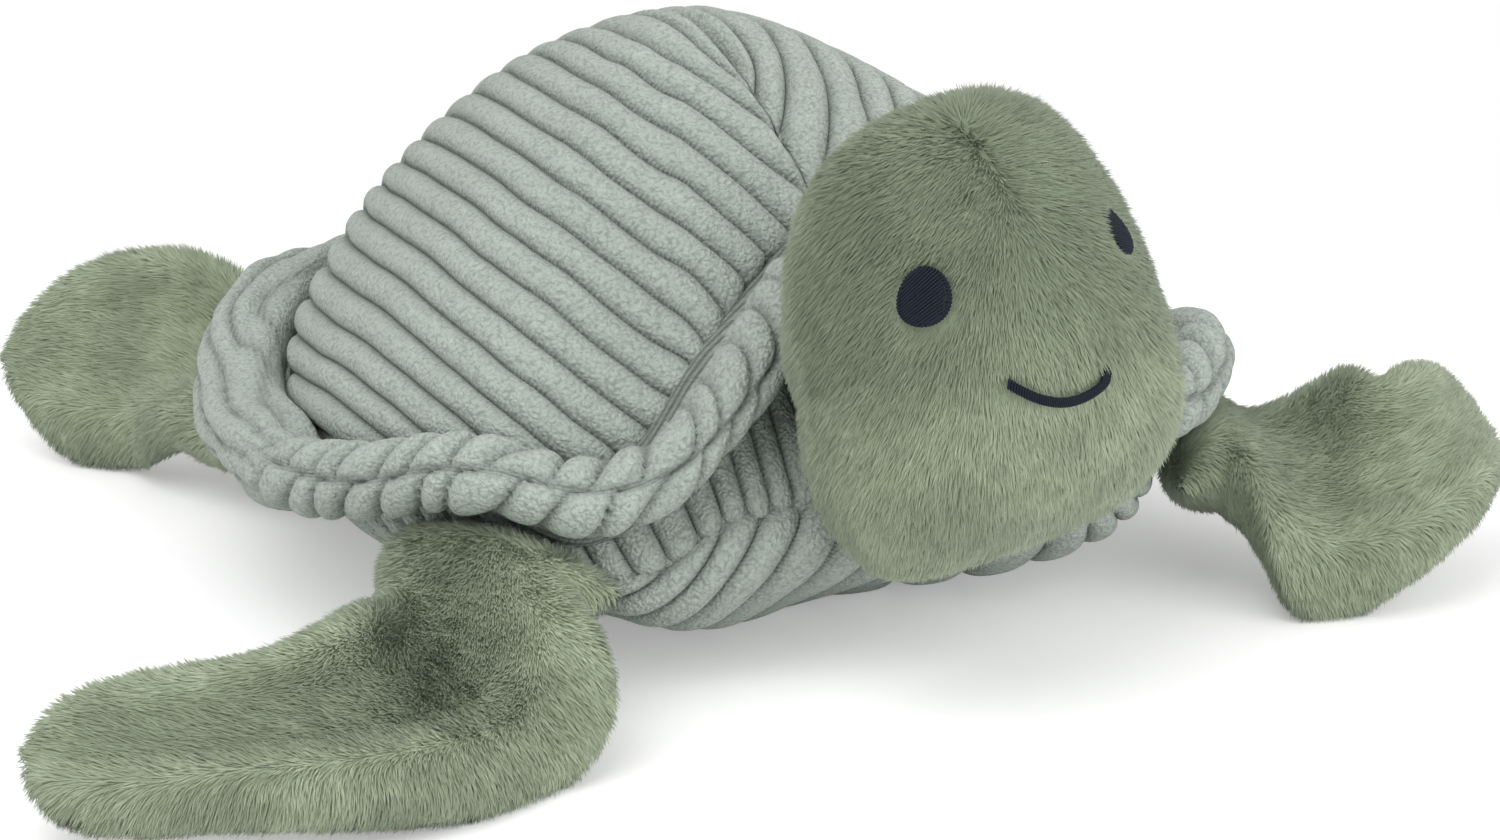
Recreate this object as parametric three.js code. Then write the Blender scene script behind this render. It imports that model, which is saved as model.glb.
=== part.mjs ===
// A stuffed toy sea turtle: a corduroy shell with a gathered roll round its edge, a corduroy
// underside, and a head and four flippers of plush fur, each with its filling inside.
// Millimetres, +Z up. The origin is the middle of the flat patch that the belly rests on.
// The head looks along -Y, and the toy's right side is at -X.
import * as THREE from "three";

// Driving dimensions: cloth and seams
const seamGap = 0.3; // between two pieces of cloth that are sewn together
const rimGap = 0.6; // between shell and underside, along the seam that climbs to the neck
const fillingGap = 0.8; // between cloth and filling
const corduroyThickness = 3.2; // ribbed cloth with its backing
const furThickness = 4.5; // knitted backing with its combed pile

// Driving dimensions: shell and underside
const shellRadius = 117; // centre line to the shell seam, at the side
const shellTop = 145; // floor to the crown of the shell
const crownSetbackLength = 20; // crown behind the middle of the shell
const bodySetbackLength = 27; // middle of the shell behind the middle of the belly patch
const collarHeight = 101; // floor to the shell seam over the neck
const restRadius = 18; // flat patch of the belly
const chestSwellDepth = 40; // how far the chest stands out below the collar
const rollRadius = 8.8; // gathered roll round the shell
const rollSeatGap = 2.6; // shell seam to the lips of the roll's cloth

// Driving dimensions: head
const neckLength = 20; // shell seam over the neck to the back of the head
const headHeight = 90.4; // floor to head centre
const headRadius = 44; // back of the head, a ball that turns in the dish of the chest
const headWidth = 90.5;
const headCrownRadius = 60; // head centre to the top of the head
const headBrowRadius = 50.3;
const headNoseRadius = 45.5;
const headMuzzleRadius = 46.1;
const headJowlRadius = 50.3;
const headChinRadius = 54.4;
const headThroatRadius = 45;
const headLean = 10; // degrees, towards the toy's right
const dishGap = 1.2; // lets the flat faces of the dish clear the round head
const eyeDiameter = 13;
const stitchHeight = 1.2; // satin stitch above the cloth
const smileWidth = 34;
const smileDropHeight = 9; // ends of the smile above its middle
const smileThreadDiameter = 1.7;

// Driving dimensions: front and rear flippers
// Each side has its own pose: aim is in degrees from straight ahead, roll is in degrees, front
// edge down, droop and lift are heights that the middle line falls and rises by, and
// reachShare is what is left of the reach where the flipper is pushed together at its root.
const frontFlipper = {
  name: "front",
  at: 62, // degrees round the shell from the nose
  rootHeight: 36,
  rootSeat: 0.6, // how far the round root is pressed into the soft side
  reach: 125.9, // hinge to tip along the middle
  halfWidth: 36.6,
  halfThickness: 14.5,
  sweepWidth: 40.8, // how far the middle line bows forward
  hollowDepth: 4, // dent in the upper cloth inside the fat edge
  settleShare: 0.35,
  twistFromShare: 0.053,
  twistShare: 0.29,
  liftFromShare: 0.081,
  liftShare: 0.698,
  poses: {
    right: { aim: 79.8, roll: 39.2, droopHeight: 29.4, liftHeight: 17.6, reachShare: 1 },
    left: { aim: 79, roll: 50.8, droopHeight: 30.2, liftHeight: 34.6, reachShare: 0.605 },
  },
  widthShares: [
    [0, 0.82],
    [0.25, 0.925],
    [0.5, 0.756],
    [0.75, 0.71],
    [1, 1.05],
  ],
};
const rearFlipper = {
  name: "rear",
  at: 140,
  rootHeight: 36,
  rootSeat: 0,
  reach: 124,
  halfWidth: 34.4,
  halfThickness: 13,
  sweepWidth: -18,
  hollowDepth: 3.5,
  settleShare: 0.35,
  twistFromShare: 0.32,
  twistShare: 0.362,
  liftFromShare: 0.2,
  liftShare: 0.449,
  poses: {
    right: { aim: 151.3, roll: 62, droopHeight: 18.3, liftHeight: 20, reachShare: 1 },
    left: { aim: 151.3, roll: 62, droopHeight: 18.3, liftHeight: 20, reachShare: 1 },
  },
  widthShares: [
    [0, 0.8],
    [0.3, 0.92],
    [0.6, 1.03],
    [0.85, 1.15],
    [1, 0.88],
  ],
};

// Counts of faces
const planSteps = 14; // round half of the shell
const domeSteps = 8;
const bandSteps = 3;
const bellySteps = 3;
const rollSides = 8;
const headSteps = 20;
const headRings = 6;
const flipperSteps = 10;
const flipperSides = 6;
const eyeSides = 16;
const smileSteps = 12;
const smileSides = 6;

// Seam of the shell, by degrees from the nose: its radius as a share of shellRadius, its height
// as a share of collarHeight, and the swell of the chest below it as a share of chestSwellDepth
const seamRadiusShares = [
  [0, 0.47],
  [12, 0.52],
  [24, 0.68],
  [36, 0.88],
  [50, 0.98],
  [75, 1.0],
  [95, 1.01],
  [115, 1.015],
  [145, 1.0],
  [180, 0.98],
];
const seamHeightShares = [
  [0, 1.0],
  [12, 0.98],
  [24, 0.9],
  [32, 0.765],
  [40, 0.585],
  [47, 0.525],
  [55, 0.57],
  [63, 0.575],
  [74, 0.515],
  [86, 0.46],
  [98, 0.445],
  [108, 0.455],
  [118, 0.505],
  [130, 0.57],
  [145, 0.58],
  [180, 0.58],
];
const chestSwellShares = [
  [0, 1.0],
  [20, 0.85],
  [40, 0.4],
  [60, 0.2],
  [180, 0.1],
];
const domePower = 1.85; // slope of the dome: 2 is a parabola
const domeShare = 0.86; // height lost along that slope, before the cloth turns down to the seam
const rimPower = 6;
const bellySeamShare = 0.42; // of the way from the shell seam to the floor
const swellPower = 3;
const bowlPower = 0.82; // 1 is a quarter of an ellipse: below that the belly is more pointed
const lipAngle = 155; // degrees: each lip of the roll's cloth, from its outermost line
// The face fills its corners more than a ball does, whose power is 2: degrees over the head
const headSquareness = [
  [0, 2],
  [40, 2.1],
  [75, 2.6],
  [110, 2.11],
  [180, 2.48],
  [245, 4.6],
  [273, 4.7],
  [292, 2.7],
  [312, 2],
  [360, 2],
];
const eyeOver = 139; // degrees over the head
const eyeAcross = 0.614; // share of half the head's width
const eyeRingShares = [0, 0.5, 0.85, 1];
const eyeCrownShare = 0.5;
const smileOver = 185.2;
const smileTaperShare = 0.35;
const probe = 0.01; // small step that slopes are measured with

const halfTurn = Math.PI;
const wholeTurnDegrees = 360;
const radians = THREE.MathUtils.degToRad;
const vector = (x, y, z) => new THREE.Vector3(x, y, z);

// Smooth value at x from a table of [x, value] rows
function fromTable(rows, x) {
  const last = rows.length - 1;
  const at = Math.min(Math.max(x, rows[0][0]), rows[last][0]);
  let i = 0;
  while (i < last - 1 && at > rows[i + 1][0]) i++;
  const slope = (k) => {
    const before = rows[Math.max(k - 1, 0)];
    const after = rows[Math.min(k + 1, last)];
    return (after[1] - before[1]) / (after[0] - before[0]);
  };
  const [x0, y0] = rows[i];
  const [x1, y1] = rows[i + 1];
  const span = x1 - x0;
  const t = (at - x0) / span;
  const bend = (slope(i) * (1 - t) - slope(i + 1) * t) * span * t * (1 - t);
  return y0 + (y1 - y0) * t * t * (3 - 2 * t) + bend;
}

// Faces are collected as triangles, and those that close to a line at a pole are left out
function addTriangle(faces, a, b, c) {
  if (a.equals(b) || b.equals(c) || c.equals(a)) return;
  for (const p of [a, b, c]) faces.push(p.x, p.y, p.z);
}

function addStrip(faces, rowA, rowB) {
  for (let j = 0; j + 1 < rowA.length; j++) {
    addTriangle(faces, rowA[j], rowB[j + 1], rowB[j]);
    addTriangle(faces, rowA[j], rowA[j + 1], rowB[j + 1]);
  }
}

// The same faces seen from the other side
function addBackStrip(faces, rowA, rowB) {
  for (let j = 0; j + 1 < rowA.length; j++) {
    addTriangle(faces, rowA[j], rowB[j], rowB[j + 1]);
    addTriangle(faces, rowA[j], rowB[j + 1], rowA[j + 1]);
  }
}

function geometryOf(faces) {
  const array = new Float32Array(faces);
  const geometry = new THREE.BufferGeometry();
  geometry.setAttribute("position", new THREE.BufferAttribute(array, 3));
  geometry.computeVertexNormals();
  return geometry;
}

// Cloth of some thickness: rows of outer points and rows of inner points. In a ring each row
// ends where it starts, so it has no side edges.
function cloth(outer, inner, ring = false) {
  const faces = [];
  const last = outer.length - 1;
  for (let i = 0; i < last; i++) {
    addStrip(faces, outer[i], outer[i + 1]);
    addBackStrip(faces, inner[i], inner[i + 1]);
  }
  addBackStrip(faces, outer[0], inner[0]);
  addStrip(faces, outer[last], inner[last]);
  if (!ring) {
    const side = (rows, j) => rows.map((row) => row.at(j));
    addStrip(faces, side(outer, 0), side(inner, 0));
    addBackStrip(faces, side(outer, -1), side(inner, -1));
  }
  return geometryOf(faces);
}

// A solid inside closed rows, whose first and last rows are each a single point
function filling(rows) {
  const faces = [];
  for (let i = 0; i + 1 < rows.length; i++) addStrip(faces, rows[i], rows[i + 1]);
  return geometryOf(faces);
}

const grid = (rows, columns, point) =>
  Array.from({ length: rows + 1 }, (_, i) =>
    Array.from({ length: columns + 1 }, (_, j) => point(i / rows, j / columns)),
  );

// Body: plan turn 0 is the nose, half a turn is the back, and side is -1 for the toy's right
const fromNose = (turn) => {
  const degrees = Math.abs(THREE.MathUtils.radToDeg(turn)) % wholeTurnDegrees;
  return Math.min(degrees, wholeTurnDegrees - degrees);
};
const seamRadius = (turn) => shellRadius * fromTable(seamRadiusShares, fromNose(turn));
const seamHeight = (turn) => collarHeight * fromTable(seamHeightShares, fromNose(turn));
const swell = (turn) => chestSwellDepth * fromTable(chestSwellShares, fromNose(turn));

const headForward = seamRadius(0) + neckLength + headRadius;
const headCentre = vector(0, bodySetbackLength - headForward, headHeight);

// The chest, the collar and the roll make room for the round back of the head
function dished(point, inset) {
  const away = point.clone().sub(headCentre);
  const least = headRadius + seamGap + dishGap + inset;
  if (away.length() < least) point.copy(headCentre).addScaledVector(away.normalize(), least);
  return point;
}

function domePoint(turn, share, inset, lift) {
  const radius = (seamRadius(turn) - inset) * share;
  const rim = seamHeight(turn) + lift;
  const crown = shellTop - inset;
  const slope = domeShare * share ** domePower;
  const edge = (1 - domeShare) * (1 - Math.sqrt(1 - share ** rimPower));
  const setback = bodySetbackLength + crownSetbackLength * (1 - share * share);
  const x = -Math.sin(turn) * radius;
  const y = -Math.cos(turn) * radius + setback;
  return dished(vector(x, y, rim + (crown - rim) * (1 - slope - edge)), inset);
}

function bowlPoint(turn, share, inset, lift) {
  const rim = seamHeight(turn) - lift;
  const quarter = (share * halfTurn) / 2;
  const flat = restRadius - inset;
  const bulge = swell(turn) * Math.sin(share * halfTurn) ** swellPower;
  const radius = flat + (seamRadius(turn) - restRadius) * Math.cos(quarter) + bulge;
  const height = inset + (rim - inset) * (1 - Math.sin(quarter)) ** bowlPower;
  const x = -Math.sin(turn) * radius;
  const y = -Math.cos(turn) * radius + bodySetbackLength * (1 - Math.sin(quarter));
  return dished(vector(x, y, height), inset);
}

const shiftedTo = (side, point) => point.setX(point.x + (side * seamGap) / 2);

// Half of a form of the body, on one side of the middle seam
function halfRows(side, rows, pointAt) {
  return grid(rows, planSteps, (i, j) => {
    const turn = (side < 0 ? j : 1 - j) * halfTurn;
    const point = pointAt(turn, i);
    point.x = Math.abs(point.x) * side;
    return shiftedTo(side, point);
  });
}

function shellCover(side) {
  const layer = (inset) =>
    halfRows(side, domeSteps, (turn, i) => domePoint(turn, i, inset, rimGap / 2));
  return cloth(layer(0), layer(corduroyThickness));
}

function sideBand(side) {
  const layer = (inset) =>
    halfRows(side, bandSteps, (turn, i) =>
      bowlPoint(turn, i * bellySeamShare, inset, rimGap / 2),
    );
  return cloth(layer(0), layer(corduroyThickness));
}

// The belly starts below the band, so the share moves by that much of the side height
function bellyCover() {
  const gapShare = (2 * rimGap) / collarHeight;
  const start = bellySeamShare + gapShare;
  const layer = (inset) => {
    const rows = grid(bellySteps, 2 * planSteps, (i, j) =>
      bowlPoint(j * 2 * halfTurn, start + (1 - start) * i, inset, rimGap / 2),
    );
    rows.push(rows[0].map(() => vector(0, 0, inset)));
    return rows;
  };
  return cloth(layer(0), layer(corduroyThickness), true);
}

function bodyStuffing() {
  const inset = corduroyThickness + fillingGap;
  const columns = 2 * planSteps;
  const around = (j) => j * 2 * halfTurn;
  const top = grid(domeSteps, columns, (i, j) => domePoint(around(j), i, inset, 0));
  top[0] = top[0].map(() => top[0][0]);
  const bandEnd = bellySeamShare;
  const band = grid(bandSteps, columns, (i, j) => bowlPoint(around(j), i * bandEnd, inset, 0));
  const belly = grid(bellySteps, columns, (i, j) =>
    bowlPoint(around(j), bandEnd + (1 - bandEnd) * i, inset, 0),
  );
  const foot = top[0].map(() => vector(0, 0, inset));
  return filling([...top, ...band.slice(1), ...belly.slice(1), foot]);
}

// The roll round the shell is a strip of cloth, folded round its own filling, with both lips
// caught in the shell seam
function rollPoint(turn, angle, radius) {
  const lip = rollRadius * Math.cos(halfTurn - radians(lipAngle));
  const out = seamRadius(turn) + rollSeatGap + lip + radius * Math.cos(angle);
  const height = seamHeight(turn) + radius * Math.sin(angle);
  const point = vector(-Math.sin(turn) * out, -Math.cos(turn) * out + bodySetbackLength, height);
  return dished(point, rollRadius - radius);
}

const rollSteps = 2 * planSteps;

function shellRoll() {
  const lip = radians(lipAngle);
  const layer = (radius) =>
    grid(rollSides, rollSteps, (i, j) =>
      rollPoint(j * 2 * halfTurn, (1 - 2 * i) * lip, radius),
    );
  return cloth(layer(rollRadius), layer(rollRadius - corduroyThickness), true);
}

function rollStuffing() {
  const flatFaces = Math.cos(halfTurn / rollSides);
  const radius = (rollRadius - corduroyThickness) * flatFaces - fillingGap;
  const rows = grid(rollSides, rollSteps, (i, j) =>
    rollPoint(j * 2 * halfTurn, (1 - 2 * i) * halfTurn, radius),
  );
  return filling(rows);
}

// Head: a ball behind, with a crown, brow, muzzle and chin in front. Degrees run over the head
// from its back, by the crown, the face and the chin.
const headProfile = [
  [0, headRadius],
  [50, headRadius],
  [90, headCrownRadius],
  [130, headBrowRadius],
  [170, headNoseRadius],
  [210, headMuzzleRadius],
  [242, headJowlRadius],
  [263, headChinRadius],
  [292, headThroatRadius],
  [312, headRadius],
  [360, headRadius],
];

function headPoint(over, across, inset) {
  const power = fromTable(headSquareness, over);
  const round = Math.max(0, 1 - Math.abs(across) ** power) ** (1 / power);
  const length = (fromTable(headProfile, over) - inset) * round;
  const x = across * (headWidth / 2 - inset);
  const angle = radians(over);
  return vector(x, length * Math.cos(angle), length * Math.sin(angle));
}

const headRingShare = (i) => Math.cos((i * halfTurn) / 2);
const headDegrees = (share) => (share * wholeTurnDegrees) % wholeTurnDegrees;

function headCover(side) {
  const layer = (inset) =>
    grid(headRings, headSteps, (i, j) => {
      const over = headDegrees(side < 0 ? j : 1 - j);
      return shiftedTo(side, headPoint(over, side * headRingShare(i), inset));
    });
  return cloth(layer(0), layer(furThickness), true);
}

function headStuffing() {
  const inset = furThickness + fillingGap;
  return filling(
    grid(2 * headRings, headSteps, (i, j) =>
      headPoint(headDegrees(1 - j), headRingShare(2 * i), inset),
    ),
  );
}

// The stitching lies on the face. A place there is a step sideways and a step down, both in
// millimetres, from a centre in degrees over the head and share across it.
function onFace(centre, sideways, down, height) {
  const { over, across } = centre;
  const here = headPoint(over, across, 0);
  const perDegree = headPoint(over + 1, across, 0).distanceTo(here);
  const perShare = headPoint(over, across + probe, 0).distanceTo(here) / probe;
  return headPoint(over + down / perDegree, across + sideways / perShare, -height);
}

function eye(side) {
  const centre = { over: eyeOver, across: side * eyeAcross };
  const reach = eyeDiameter / 2;
  const layer = (thick) =>
    eyeRingShares.map((share) =>
      Array.from({ length: eyeSides + 1 }, (_, j) => {
        const turn = ((j % eyeSides) * 2 * halfTurn) / eyeSides;
        const height = seamGap + thick * (1 - eyeCrownShare * share * share);
        const sideways = reach * share * Math.cos(turn);
        return onFace(centre, sideways, reach * share * Math.sin(turn), height);
      }),
    );
  return cloth(layer(stitchHeight), layer(0), true);
}

function smile() {
  const radius = smileThreadDiameter / 2;
  const centre = { over: smileOver, across: 0 };
  const middle = (share) =>
    onFace(centre, (share * smileWidth) / 2, -smileDropHeight * share * share, seamGap + radius);
  const step = 2 / smileSteps;
  const rows = Array.from({ length: smileSteps + 1 }, (_, i) => {
    const share = i * step - 1;
    const here = middle(share);
    const along = middle(share + step).sub(middle(share - step)).normalize();
    const out = here.clone().normalize();
    const side = along.clone().cross(out).normalize();
    const thick = radius * (1 - smileTaperShare * share ** 4);
    return Array.from({ length: smileSides + 1 }, (_, j) => {
      const turn = ((j % smileSides) * 2 * halfTurn) / smileSides;
      return here
        .clone()
        .addScaledVector(out, thick * Math.cos(turn))
        .addScaledVector(side, thick * Math.sin(turn));
    });
  });
  const end = (share, row) => row.map(() => middle(share));
  return filling([end(-1, rows[0]), ...rows, end(1, rows[0])]);
}

// Flippers: sections along a bowed middle line. The root is half a cylinder about the line that
// the flipper hinges on, and it lies against the body. Right flippers are made first, and the
// left ones are their mirror image.
const smooth = (t) => {
  const held = Math.min(Math.max(t, 0), 1);
  return held * held * (3 - 2 * held);
};

function hingePoint(spec) {
  const turn = radians(spec.at);
  const level = (spec.rootHeight / seamHeight(turn)) ** (1 / bowlPower);
  const share = (2 / halfTurn) * Math.asin(1 - level);
  const step = 1 / planSteps;
  const below = bowlPoint(turn, share + step, 0, 0);
  const down = below.sub(bowlPoint(turn, share - step, 0, 0)).normalize();
  const along = vector(-Math.cos(turn), Math.sin(turn), 0);
  const normal = along.cross(down).normalize();
  return bowlPoint(turn, share, 0, 0).addScaledVector(normal, spec.halfThickness - spec.rootSeat);
}

// Half thickness at a place along the middle line, which is 0 at the hinge
function thickness(spec, place, end, inset) {
  const radius = spec.halfThickness - inset;
  if (place < 0) return Math.sqrt(Math.max(0, radius * radius - place * place));
  return radius * Math.max(0, 1 - (place / end) ** 3) ** 0.6;
}

function flipperPoint(spec, pose, along, angle, inset, lift) {
  const start = inset - spec.halfThickness;
  const end = spec.reach - inset;
  const place = start + (end - start) * (0.5 - 0.5 * Math.cos(along * halfTurn));
  const share = Math.max(0, place) / spec.reach;
  const close = Math.max(0, 1 - (Math.max(0, place) / end) ** 4) ** 0.5;
  const half = (spec.halfWidth * fromTable(spec.widthShares, share) - inset) * close;
  const aim = radians(pose.aim);
  const bow = Math.atan(((spec.sweepWidth * halfTurn) / spec.reach) * Math.cos(share * halfTurn));
  const hinge = radians(spec.at);
  const turn = hinge + (aim - bow - hinge) * smooth(share / spec.settleShare);
  const twist = radians(pose.roll) * smooth((share - spec.twistFromShare) / spec.twistShare);
  const out = vector(-Math.sin(aim), -Math.cos(aim), 0);
  const front = vector(Math.cos(aim), -Math.sin(aim), 0);
  const edge = vector(Math.cos(turn), -Math.sin(turn), 0);
  const across = half * Math.cos(angle);
  const crown = Math.sin(angle);
  const dent = (spec.hollowDepth / spec.halfThickness) * Math.max(0, crown) ** 3;
  const fullness = crown - dent * Math.sin(share * halfTurn) ** 2;
  const up = thickness(spec, place, end, inset) * fullness + lift;
  const fall = pose.droopHeight * Math.sin((share * halfTurn) / 2);
  const rise = pose.liftHeight * smooth((share - spec.liftFromShare) / spec.liftShare) - fall;
  return hingePoint(spec)
    .addScaledVector(out, Math.min(place, place * pose.reachShare))
    .addScaledVector(front, spec.sweepWidth * Math.sin(share * halfTurn))
    .addScaledVector(edge, across * Math.cos(twist) + up * Math.sin(twist))
    .add(vector(0, 0, rise + up * Math.cos(twist) - across * Math.sin(twist)));
}

// One layer of a flipper: its upper half, its lower half or all of it
function flipperRows(spec, side, inset, first, last, lift) {
  const pose = spec.poses[side < 0 ? "right" : "left"];
  const columns = Math.abs(last - first) > 1 ? 2 * flipperSides : flipperSides;
  return grid(flipperSteps, columns, (i, j) => {
    const angle = (first + (last - first) * j) * halfTurn;
    const point = flipperPoint(spec, pose, i, angle, inset, lift);
    return point.setX(point.x * -side);
  });
}

function flipperCover(spec, side, upper) {
  const sign = upper ? 1 : -1;
  const [first, last] = upper === side < 0 ? [0, sign] : [sign, 0];
  const layer = (inset) => flipperRows(spec, side, inset, first, last, (sign * seamGap) / 2);
  return cloth(layer(0), layer(furThickness));
}

function flipperStuffing(spec, side) {
  const [first, last] = side < 0 ? [0, 2] : [2, 0];
  return filling(flipperRows(spec, side, furThickness + fillingGap, first, last, 0));
}

// Materials
const finish = (color, roughness) =>
  new THREE.MeshStandardMaterial({ color, roughness, metalness: 0 });
const materials = {
  corduroy: finish("#a3ada4", 0.95),
  belly: finish("#94a096", 0.95),
  fur: finish("#7f8b78", 1.0),
  stitch: finish("#22303a", 0.6),
  fibre: finish("#eeeeea", 1.0),
};

// Assembly
const turtle = new THREE.Group();

function addPiece(name, geometry, material, group = turtle) {
  const piece = new THREE.Mesh(geometry, material);
  piece.name = name;
  group.add(piece);
}

const sides = { right: -1, left: 1 };

for (const [sideName, side] of Object.entries(sides)) {
  addPiece(`shell_cover_${sideName}`, shellCover(side), materials.corduroy);
  addPiece(`side_band_${sideName}`, sideBand(side), materials.corduroy);
}
addPiece("belly_cover", bellyCover(), materials.belly);
addPiece("body_stuffing", bodyStuffing(), materials.fibre);
addPiece("shell_roll", shellRoll(), materials.corduroy);
addPiece("shell_roll_stuffing", rollStuffing(), materials.fibre);

const head = new THREE.Group();
head.position.copy(headCentre);
head.rotation.y = radians(-headLean);
turtle.add(head);
for (const [sideName, side] of Object.entries(sides)) {
  addPiece(`head_cover_${sideName}`, headCover(side), materials.fur, head);
  addPiece(`eye_${sideName}`, eye(side), materials.stitch, head);
}
addPiece("head_stuffing", headStuffing(), materials.fibre, head);
addPiece("smile_stitch", smile(), materials.stitch, head);

for (const spec of [frontFlipper, rearFlipper]) {
  for (const [sideName, side] of Object.entries(sides)) {
    const flipper = `${spec.name}_flipper`;
    addPiece(`${flipper}_top_${sideName}`, flipperCover(spec, side, true), materials.fur);
    addPiece(`${flipper}_base_${sideName}`, flipperCover(spec, side, false), materials.fur);
    addPiece(`${flipper}_stuffing_${sideName}`, flipperStuffing(spec, side), materials.fibre);
  }
}

export default turtle;
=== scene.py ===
"""A plush sea turtle: corduroy shell with a gathered roll, corduroy underside, fur head and flippers."""

import math

import bpy
import numpy as np
from mathutils import Matrix, Vector


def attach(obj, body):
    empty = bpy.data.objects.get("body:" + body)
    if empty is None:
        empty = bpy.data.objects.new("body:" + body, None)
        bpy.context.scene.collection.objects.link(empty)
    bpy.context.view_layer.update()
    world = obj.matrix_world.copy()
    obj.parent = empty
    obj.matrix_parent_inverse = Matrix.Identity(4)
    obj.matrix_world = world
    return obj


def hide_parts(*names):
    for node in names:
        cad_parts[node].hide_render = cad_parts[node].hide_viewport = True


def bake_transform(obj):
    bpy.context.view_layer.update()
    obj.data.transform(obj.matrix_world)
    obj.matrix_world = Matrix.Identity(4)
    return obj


bl_info = {
    "name": "Plush Sea Turtle",
    "version": (1, 0, 0),
    "blender": (4, 5, 0),
    "location": "View3D > Sidebar > Turtle",
    "description": "Dresses the turtle's solids in corduroy, plush pile and embroidery",
    "category": "Add Mesh",
}

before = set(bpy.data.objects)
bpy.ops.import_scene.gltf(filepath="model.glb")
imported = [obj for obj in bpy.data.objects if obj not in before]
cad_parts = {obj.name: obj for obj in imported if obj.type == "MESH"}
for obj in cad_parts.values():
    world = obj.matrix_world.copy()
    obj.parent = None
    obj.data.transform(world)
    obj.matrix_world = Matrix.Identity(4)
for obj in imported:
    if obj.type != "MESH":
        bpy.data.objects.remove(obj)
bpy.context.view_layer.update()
MM = 0.001
TICK_PITCH = 1.1
SIDES = {"right": -1, "left": 1}

# The forms of the body, in millimetres and degrees from the nose, as in the solids
# Shell seam, as shares of the shell's radius and of the collar's height
SEAM_RADIUS = [
    [0, 0.47], [12, 0.50], [24, 0.62], [36, 0.82], [50, 0.965], [75, 1.0], [95, 1.01], [115, 1.015],
    [145, 1.0], [180, 0.98],
]
SEAM_HEIGHT = [
    [0, 1.0], [12, 0.98], [24, 0.9], [32, 0.765], [40, 0.585], [47, 0.525], [55, 0.57], [63, 0.575],
    [74, 0.515], [86, 0.46], [98, 0.445], [108, 0.455], [118, 0.505], [130, 0.57], [145, 0.58], [180, 0.58],
]
# The dome's slope and its rounded edge, and the fullness of the bowl under it
DOME_POWER = 1.85
DOME_EDGE = 0.14
BOWL_POWER = 0.82
# The head's centre ahead of the seam and over the floor, and the hollow that its back rests in
HEAD_AHEAD, HEAD_BACK, HEAD_HEIGHT = 20.01, 44, 90.4
HEAD_SEAT = 45.5
FLOOR_GAP = 0.02
HALVINGS = 34
UP = np.array([0, 0, 1.0])
# Middle of the gathered roll, out from the shell seam and above it
ROLL_OUT = [[0, 10.6], [20, 9.8], [50, 10.4], [75, 10], [100, 10.6], [125, 13.5], [150, 12.5], [180, 11]]
ROLL_RISE = [
    [0, 0], [50, 0], [60, -0.6], [68, -2.2], [84, -1.6], [96, 0.4], [112, 0], [128, 1.8], [138, 3.2],
    [150, 2.2], [180, 1],
]
# Share of the chest's swell
CHEST_SWELL = [[0, 1.0], [20, 0.85], [40, 0.4], [60, 0.2], [180, 0.1]]
# Seam between side band and belly, as a share of the way from the shell seam to the floor
BELLY_SEAM = [[0, 0.42], [25, 0.37], [35, 0.3], [55, 0.32], [90, 0.4], [180, 0.42]]

# Flippers. The root is sewn at so many degrees from the nose. Along the reach, widths are shares of the half
# width, and lead and trail are shares for the edges that point ahead and behind. A painted shade darkens the
# hollow.
FRONT_FLIPPER = dict(
    name="front", at=62, root_height=36, root_seat=0.6, reach=125.9, half_width=36.6, half_thickness=14.5,
    sweep=40.8, settle=0.35, twist_from=0.053, twist_share=0.29, lift_from=0.081, lift_share=0.698,
    widths=[[0, 0.82], [0.25, 0.925], [0.5, 0.756], [0.75, 0.71], [1, 1.05]],
    lead=dict(
        right=[[0, 1.0], [0.14, 1.26], [0.35, 1.05], [0.55, 0.93], [1, 1.0]],
        left=[[0, 1.0], [0.2, 1.15], [0.45, 0.96], [0.7, 0.88], [1, 0.75]],
    ),
    trail=dict(
        right=[[0, 0.95], [0.14, 0.72], [0.3, 0.82], [0.5, 1.0], [1, 1.0]],
        left=[[0, 1.05], [0.15, 1.14], [0.4, 1.06], [0.7, 1.02], [1, 0.8]],
    ),
    poses={
        "right": dict(aim=79.8, roll=39.2, droop=29.4, lift=17.6, reach_share=1, painted_shade=0.5),
        "left": dict(aim=79, roll=50.8, droop=30.2, lift=34.6, reach_share=0.605, painted_shade=0.12),
    },
)
REAR_FLIPPER = dict(
    name="rear", at=140, root_height=36, root_seat=0, reach=124, half_width=34.4, half_thickness=13,
    sweep=-18, settle=0.35, twist_from=0.32, twist_share=0.362, lift_from=0.2, lift_share=0.449,
    widths=[[0, 0.8], [0.3, 0.92], [0.6, 1.03], [0.85, 1.15], [1, 0.88]],
    lead=dict(right=[[0, 1.0], [1, 1.0]], left=[[0, 1.0], [1, 1.0]]),
    trail=dict(right=[[0, 1.0], [1, 1.0]], left=[[0, 1.0], [1, 1.0]]),
    poses={
        "right": dict(aim=151.3, roll=62, droop=18.3, lift=20, reach_share=1, painted_shade=0.05),
        "left": dict(aim=151.3, roll=62, droop=18.3, lift=20, reach_share=1, painted_shade=0.05),
    },
)


# ---------------------------------------------------------------- sizes and colours


def size_mm(name, about, mm):
    return bpy.props.FloatProperty(name=name, description=about, default=mm * MM, unit="LENGTH")


def size_degrees(name, about, degrees):
    value = math.radians(degrees)
    return bpy.props.FloatProperty(name=name, description=about, default=value, subtype="ANGLE")


def size_plain(name, about, value):
    return bpy.props.FloatProperty(name=name, description=about, default=value)


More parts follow.
